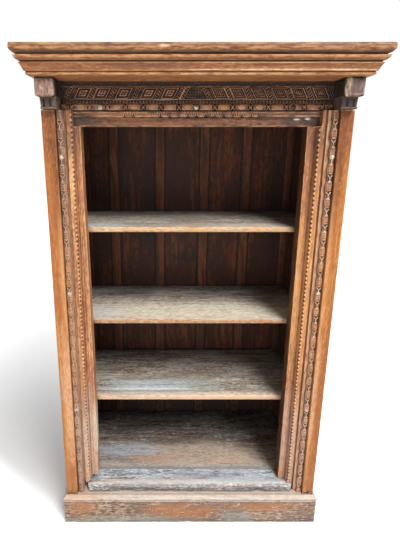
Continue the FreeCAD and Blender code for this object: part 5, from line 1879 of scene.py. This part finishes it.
@dataclass
class Bracket:
    """Worn block over a petalled neck."""

    side: Side
    neck_top: float = 35.0
    radius: float = 9.0
    neck_inset: float = 12.0
    lip_inset: float = 8.0
    lip_height: float = 8.0
    front_inset: float = 26.0

    def build(self) -> None:
        """Dress the bracket."""
        name = "bracket_" + self.side.name.lower()
        low, high = box_of(name)
        skin = Skin(name + "_worn", seed=23 + self.side.value)
        block_low = np.array([low[0], low[1], low[2] + self.neck_top])
        block = board_lattice(block_low, high, Axis.UPRIGHT, self.radius * 0.9, 2.2)
        inwards = block[..., 0] - low[0] if self.side is Side.RIGHT else high[0] - block[..., 0]
        flank = soft_step(block[..., 1], low[1] + 8, low[1] + 22) * soft_step(inwards, 16, 6)
        marks = {"shade": 1.1 * flank}
        finish = BRACKET_WOOD
        if self.side is Side.RIGHT:
            marks["raw"] = self.split(block, low)
            finish = replace(
                BRACKET_WOOD, name="bracket wood right", base=(120, 98, 90), pale=(148, 126, 118), tint=(98, 78, 78),
            )
        skin.add(weathered(block, 121 + self.side.value, 5.0, 1.0), **marks)
        neck = self.neck(low, high)
        even = np.ones(neck.shape[:2])
        skin.add(weathered(neck, 131 + self.side.value, 1.6, 0.5), tone=0.65 * even, sheltered=0.5 * even)
        skin.dress(finish, Axis.UPRIGHT, [name])

    def split(self, block: np.ndarray, low: np.ndarray) -> np.ndarray:
        """Break the inner front edge off in splinters.

        Args:
            block: Rings of the block, changed in place.
            low: Lowest corner of the bracket.

        Returns:
            Share of bare wood at each point.
        """
        across = block[..., 0] - low[0]
        back = block[..., 1] - low[1]
        splinters = 4.0 * noise(block, (5, 5, 22), 9, 3)
        outside = 16 - across - back * 16 / 22 + splinters
        amount = np.clip(outside, 0, 14)
        block[..., 0] += amount * 0.55
        block[..., 1] += amount * 0.6
        near_arris = soft_step(back, 18, 6)
        return np.clip(amount / 4, 0, 0.95) * soft_step(noise(block, (5, 5, 14), 11, 2), -0.7, 0.1) * near_arris

    def neck(self, low: np.ndarray, high: np.ndarray) -> np.ndarray:
        """Rings of the petalled neck.

        Args:
            low: Lowest corner of the bracket.
            high: Highest corner of the bracket.

        Returns:
            The lattice.
        """
        heights = low[2] + np.linspace(0, self.neck_top + 4, 26)
        share = np.clip((heights - low[2]) / self.neck_top, 0, 1)
        lip = soft_step(heights - low[2], self.lip_height, self.lip_height - 3)
        inset = self.neck_inset - (self.neck_inset - self.lip_inset) * share**0.7 - 2.5 * lip
        corners = [(0.0, 0.0, 5.0), (1.0, 0.0, 5.0), (1.0, 1.0, 0.0), (0.0, 1.0, 0.0)]
        width = high[0] - low[0]
        depth = high[1] - low[1] - self.front_inset
        outline = rounded_outline([(a * width, b * depth, r) for a, b, r in corners], 1.6)
        lattice = swept_lattice(outline, heights, Axis.UPRIGHT)
        petals_x = np.abs(np.sin(outline[:, 0] / width * 3 * math.pi)) ** 0.6
        petals_y = np.abs(np.sin(outline[:, 1] / depth * 4 * math.pi)) ** 0.6
        petal = np.where(outline[:, 1] < 2, petals_x, petals_y)
        rise = soft_step(share, 0.12, 0.3) * soft_step(share, 1.0, 0.8)
        groove = 4.2 * (1 - petal)[None, :] * rise[:, None]
        reach = inset[:, None] + groove
        outer_low = reach if self.side is Side.LEFT else groove + 1.5
        outer_high = reach if self.side is Side.RIGHT else groove + 1.5
        lattice[..., 0] = low[0] + np.clip(outline[:, 0], outer_low, width - outer_high)
        drawn = groove + 0.6 * (inset[:, None] - self.lip_inset)
        front = low[1] + self.front_inset + np.maximum(outline[:, 1], drawn)
        lattice[..., 1] = np.where(outline[:, 1] < depth - 1, front, high[1])
        return lattice


@dataclass
class Cornice:
    """Stepped cornice and the boards of the top."""

    boards: Boards
    projection: float = 45.0

    def build(self) -> None:
        """Dress the moulding and the top boards."""
        low, high = box_of("cornice_front")
        soffit = low[2]
        rise = high[2] - soffit
        plane_x = high[0] - self.projection
        plane_y = low[1] + self.projection
        shares = [
            (0.0, 0.0, 0), (0.24, 0.0, 1), (0.40, 0.05, 2.5), (0.42, 0.155, 1), (0.375, 0.172, 0.5),
            (0.39, 0.20, 0.5), (0.50, 0.215, 1), (0.56, 0.34, 4), (0.63, 0.46, 4), (0.76, 0.59, 1.2),
            (0.62, 0.61, 0.5), (0.64, 0.66, 0.5), (0.80, 0.675, 1.2), (0.96, 0.79, 6), (0.99, 0.895, 1.5),
            (0.82, 0.92, 0.5), (0.82, 1.0, 0), (0.0, 1.0, 0),
        ]
        section = [(out * self.projection, soffit + up * rise, radius) for out, up, radius in shares]
        end_y = box_of("cornice_side_left")[1][1]
        runs = Run(section, plane_x, plane_y, end_y, step=4.0, spacing=1.5, chips=1.6)
        finish = replace(
            CORNICE_TEAK,
            name="cornice moulding teak",
            stains_and_painted_light=(
                Stain((120, 72, 48), (-0.36, -0.29, 1.738), (0.05, 0.2, 0.010), 0.6),
                Stain((112, 74, 56), (-0.16, -0.29, 1.748), (0.16, 0.2, 0.007), 0.7),
                Stain((206, 146, 82), (0.0, -0.24, 1.724), (0.60, 0.03, 0.008), 0.6),
                # Painted highlights along the arrises of the steps, in this and the next three rows.
                Stain((244, 212, 170), (0.24, -0.24, 1.7555), (0.42, 0.1, 0.0022), 0.9),
                Stain((244, 212, 170), (0.28, -0.24, 1.7365), (0.40, 0.1, 0.0025), 0.9),
                Stain((232, 190, 144), (0.36, -0.24, 1.7745), (0.24, 0.1, 0.0022), 0.8),
                Stain((230, 186, 140), (-0.30, -0.24, 1.7555), (0.20, 0.1, 0.0022), 0.35),
            ),
        )
        runs.dress(["cornice_front", "cornice_side_left", "cornice_side_right"], finish, 141)
        self.top_boards()

    def top_boards(self) -> None:
        """Dress the three boards of the top."""
        finish = replace(
            CORNICE_TEAK,
            name="top board teak", base=(106, 65, 36), pale=(152, 101, 58), deep=(82, 46, 28), tint=(104, 60, 36),
            ridge=(208, 156, 106),
            stains_and_painted_light=(
                Stain((204, 166, 106), (-0.42, -0.305, 1.802), (0.10, 0.1, 0.006), 0.7),
                # The dark patches here are painted shadow along the top of the front face.
                Stain((78, 46, 38), (-0.300, -0.305, 1.799), (0.170, 0.02, 0.007), 0.75),
                Stain((86, 54, 42), (-0.135, -0.305, 1.795), (0.014, 0.02, 0.006), 0.8),
                Stain((240, 208, 170), (-0.112, -0.305, 1.795), (0.020, 0.02, 0.005), 0.9),
                Stain((84, 50, 46), (0.38, -0.305, 1.799), (0.13, 0.02, 0.007), 0.7),
            ),
        )
        for node in ("top_board_front", "top_board_middle", "top_board_rear"):
            low, high = box_of(node)
            lattice = self.nosed_board(low, high, node.endswith("front"))
            skin = Skin(node + "_worn", seed=self.boards.count).add(weathered(lattice, 151, 2.0))
            skin.dress(finish, Axis.ACROSS, [node])

    def nosed_board(self, low: np.ndarray, high: np.ndarray, front: bool) -> np.ndarray:
        """Rings of a top board whose lower edge is drawn in.

        Args:
            low: Lowest corner.
            high: Highest corner.
            front: Whether its front edge is moulded as well as its ends.

        Returns:
            The lattice.
        """
        rise = high[2] - low[2]
        levels = [(0.0, 8.5), (0.02, 8.0), (0.08, 6.6), (0.18, 4.0), (0.28, 1.6), (0.38, 0.4)]
        levels += [(0.5, 0.0), (0.64, 0.2), (0.76, 0.5), (0.86, 0.9), (0.94, 1.8), (1.0, 3.2)]
        corners = [(low[0], low[1], 2), (high[0], low[1], 2), (high[0], high[1], 0), (low[0], high[1], 0)]
        outline = rounded_outline(corners, 4.0)
        lattice = swept_lattice(outline, np.array([low[2] + share * rise for share, _ in levels]), Axis.UPRIGHT)
        drawn = np.array([inset for _, inset in levels])[:, None]
        lattice[..., 0] = np.clip(lattice[..., 0], low[0] + drawn, high[0] - drawn)
        if front:
            lattice[..., 1] = np.maximum(lattice[..., 1], low[1] + drawn)
        return lattice


@dataclass
class Nails:
    """Forged nails with domed, hammered heads."""

    radius: float = 8.5
    end_nail_shade: float = 0.9

    def build(self) -> None:
        """Dress every nail head, the one at the frieze's right end darkened with painted shade."""
        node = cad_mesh("domed_nails")
        skin = Skin("domed_nails_forged", seed=3)
        for place in self.places(node):
            head = self.head(place)
            at_right_end = place[0] > 150 and place[2] > box_of("frieze_board")[0][2]
            # Painted shade on the nail at the frieze's right end.
            end_nail_shade = self.end_nail_shade if at_right_end else 0.0
            skin.add(head, shade=np.full(head.shape[:2], end_nail_shade))
        skin.dress(IRON, Axis.UPRIGHT, ["domed_nails"])

    def places(self, points: np.ndarray) -> list[np.ndarray]:
        """Find the front middle of every packed nail.

        Args:
            points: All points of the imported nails.

        Returns:
            One place for each nail.
        """
        found: list[np.ndarray] = []
        for point in points[np.argsort(points[:, 1])]:
            if all(np.hypot(*(point - other)[[0, 2]]) > 30 for other in found):
                near = points[np.hypot(points[:, 0] - point[0], points[:, 2] - point[2]) < 20]
                middle = (near.min(axis=0) + near.max(axis=0)) / 2
                found.append(np.array([middle[0], near[:, 1].min(), middle[2]]))
        return found

    def head(self, place: np.ndarray) -> np.ndarray:
        """Make one hammered head.

        Args:
            place: Front middle of the head.

        Returns:
            The lattice.
        """
        angles = np.radians(np.arange(0, 360, 12))
        rows = []
        for share, back in ((0.05, 0.0), (0.3, 0.25), (0.55, 0.9), (0.78, 2.2), (0.93, 3.8), (1.0, 5.6), (0.9, 6.4)):
            ring = np.zeros((len(angles), 3))
            ring[:, 0] = place[0] + share * self.radius * np.cos(angles)
            ring[:, 1] = place[1] + back
            ring[:, 2] = place[2] + share * self.radius * np.sin(angles)
            rows.append(ring)
        lattice = np.array(rows)
        dents = np.clip(noise(lattice, (5, 5, 5), int(abs(place[2])), 2), 0, 1)
        lattice[..., 1] += 0.8 * dents
        return lattice


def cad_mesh(node: str) -> np.ndarray:
    """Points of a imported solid, in millimetres."""
    return np.array([vertex.co[:] for vertex in bpy.data.objects[node].data.vertices]) / MILLIMETRE


@dataclass
class HiddenParts:
    """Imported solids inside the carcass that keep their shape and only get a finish."""

    finish: Timber = BACK_WOOD

    def build(self, nodes: dict[str, bpy.types.Object]) -> None:
        """Give every solid that still shows its timber.

        Args:
            nodes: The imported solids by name.
        """
        for name, node in nodes.items():
            if node.hide_render:
                continue
            axis = Axis(int(np.argmax(box_of(name)[1] - box_of(name)[0])))
            node.data.materials.clear()
            node.data.materials.append(self.finish.material(axis))
            LOG.info("%s: finish only", name)


# Stage


def show(name: str, data: bpy.types.ID, place: Place = ORIGIN, turn: Place = ORIGIN) -> bpy.types.Object:
    """Put a mesh, lamp or camera into the scene.

    Args:
        name: Name of the object.
        data: The mesh, lamp or camera.
        place: Where it stands, in metres.
        turn: Its turn about x, y and z.

    Returns:
        The object.
    """
    shown = bpy.data.objects.new(name, data)
    shown.location = place
    shown.rotation_euler = turn
    bpy.context.scene.collection.objects.link(shown)
    return shown


@dataclass
class Stage:
    """Pale floor, soft studio light and the camera."""

    camera_place: tuple[float, float, float] = (-0.1176, -1.5532, 1.511)
    camera_pitch: float = 76.0
    focal_pixels: float = 400.0
    image_height: float = 533.0
    shift: tuple[float, float] = (0.0726, -0.0353)
    ambient: float = 0.16
    floor_reach: float = 14.0
    floor_tone: float = 0.82

    def build(self) -> None:
        """Make floor, lamps, world and camera."""
        self.floor()
        self.lamp("key", (2.5, -4.6, 6.6), (0.0, -0.2, 0.9), 3.4, 680.0)
        self.lamp("front fill", (-1.0, -3.2, 0.7), (0.0, 0.0, 0.9), 2.4, 30.0)
        self.world()
        self.camera()
        bpy.context.scene.view_settings.view_transform = "Standard"

    def camera(self) -> None:
        """Set the camera where the photograph was taken from."""
        data = bpy.data.cameras.new("camera")
        data.sensor_width = 36.0
        data.lens = data.sensor_width * self.focal_pixels / self.image_height
        data.shift_x, data.shift_y = self.shift
        data.clip_start = 0.05
        data.clip_end = 60.0
        turn = (math.radians(self.camera_pitch), 0.0, 0.0)
        bpy.context.scene.camera = show("camera", data, self.camera_place, turn)

    def lamp(self, name: str, place: Sequence[float], aim: Sequence[float], size: float, power: float) -> None:
        """Hang one soft lamp.

        Args:
            name: Name of the lamp.
            place: Where it hangs, in metres.
            aim: What it points at, in metres.
            size: Width of its face in metres.
            power: Power in watts.
        """
        data = bpy.data.lights.new(name, "AREA")
        data.shape = "DISK"
        data.size = size
        data.energy = power
        away = np.array(place) - np.array(aim)
        tilt = math.acos(away[2] / np.linalg.norm(away))
        show(name, data, place, (tilt, 0.0, math.atan2(away[1], away[0]) + math.pi / 2))

    def world(self) -> None:
        """Light everything softly, and show white to the camera."""
        world = bpy.data.worlds.new("studio")
        bpy.context.scene.world = world
        wires = bare(world)
        path = wires.add("LightPath").outputs
        seen = wires.maths("MAXIMUM", path["Is Camera Ray"], path["Is Transmission Ray"])
        seen = wires.maths("MAXIMUM", seen, path["Is Glossy Ray"])
        strength = wires.maths("ADD", self.ambient, wires.maths("MULTIPLY", seen, 1.0 - self.ambient))
        ground = wires.add("Background", {"Color": WHITE, "Strength": strength})
        wires.add("OutputWorld", {0: ground.outputs[0]})

    def floor(self) -> None:
        """Lay a wide pale floor whose glow turns it white away from the shadow."""
        reach = self.floor_reach
        mesh = bpy.data.meshes.new("floor")
        corners = [(-reach, -reach, 0), (reach, -reach, 0), (reach, reach, 0), (-reach, reach, 0)]
        mesh.from_pydata(corners, [], [(0, 1, 2, 3)])
        material = bpy.data.materials.new("pale floor")
        wires = bare(material)
        path = wires.add("LightPath").outputs
        place = wires.add("TexCoord").outputs["Object"]
        # Painted light: the glow grows with distance from a point to the left front of the bookcase, and again
        # across the open floor further to the left front, and so draws where the shadow ends.
        away = wires.measure("LENGTH", wires.stretch(place, (1.0, 0.627, 1.0), (1.14, 0.759, 0.0)))
        ahead = wires.measure("DOT_PRODUCT", place, (-0.624, -0.782, 0.0))
        far = wires.maths("MULTIPLY_ADD", wires.between(away, 1.6, 3.0), 0.23, 0.02)
        glow = wires.maths("MULTIPLY_ADD", wires.between(away, 0.38, 1.5), 0.77, far)
        open_floor = wires.maths("MULTIPLY", wires.between(ahead, 0.43, 0.575), 0.69)
        seen = wires.maths("MAXIMUM", path["Is Camera Ray"], path["Is Glossy Ray"])
        surface = wires.add("BsdfPrincipled", {
            "Base Color": (self.floor_tone,) * 3 + (1.0,),
            "Roughness": 1.0,
            "Specular IOR Level": 0.0,
            "Emission Color": WHITE,
            "Emission Strength": wires.maths("MULTIPLY", seen, wires.maths("ADD", glow, open_floor)),
        })
        wires.add("OutputMaterial", {0: surface.outputs[0]})
        mesh.materials.append(material)
        show("floor", mesh)


def main() -> None:
    """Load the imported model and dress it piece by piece."""
    logging.basicConfig(level=logging.INFO, format="%(message)s")
    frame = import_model()
    boards = Boards()
    boards.build()
    Plinth(boards).build()
    Threshold().build()
    for side in Side:
        Post(side).build()
        Jamb(side).build()
        Roll(side).build()
        Bracket(side).build()
    Lintel().build()
    Frieze().build()
    Cornice(boards).build()
    Nails().build()
    HiddenParts().build(frame["nodes"])
    Stage().build()


if __name__ == "__main__":
    main()
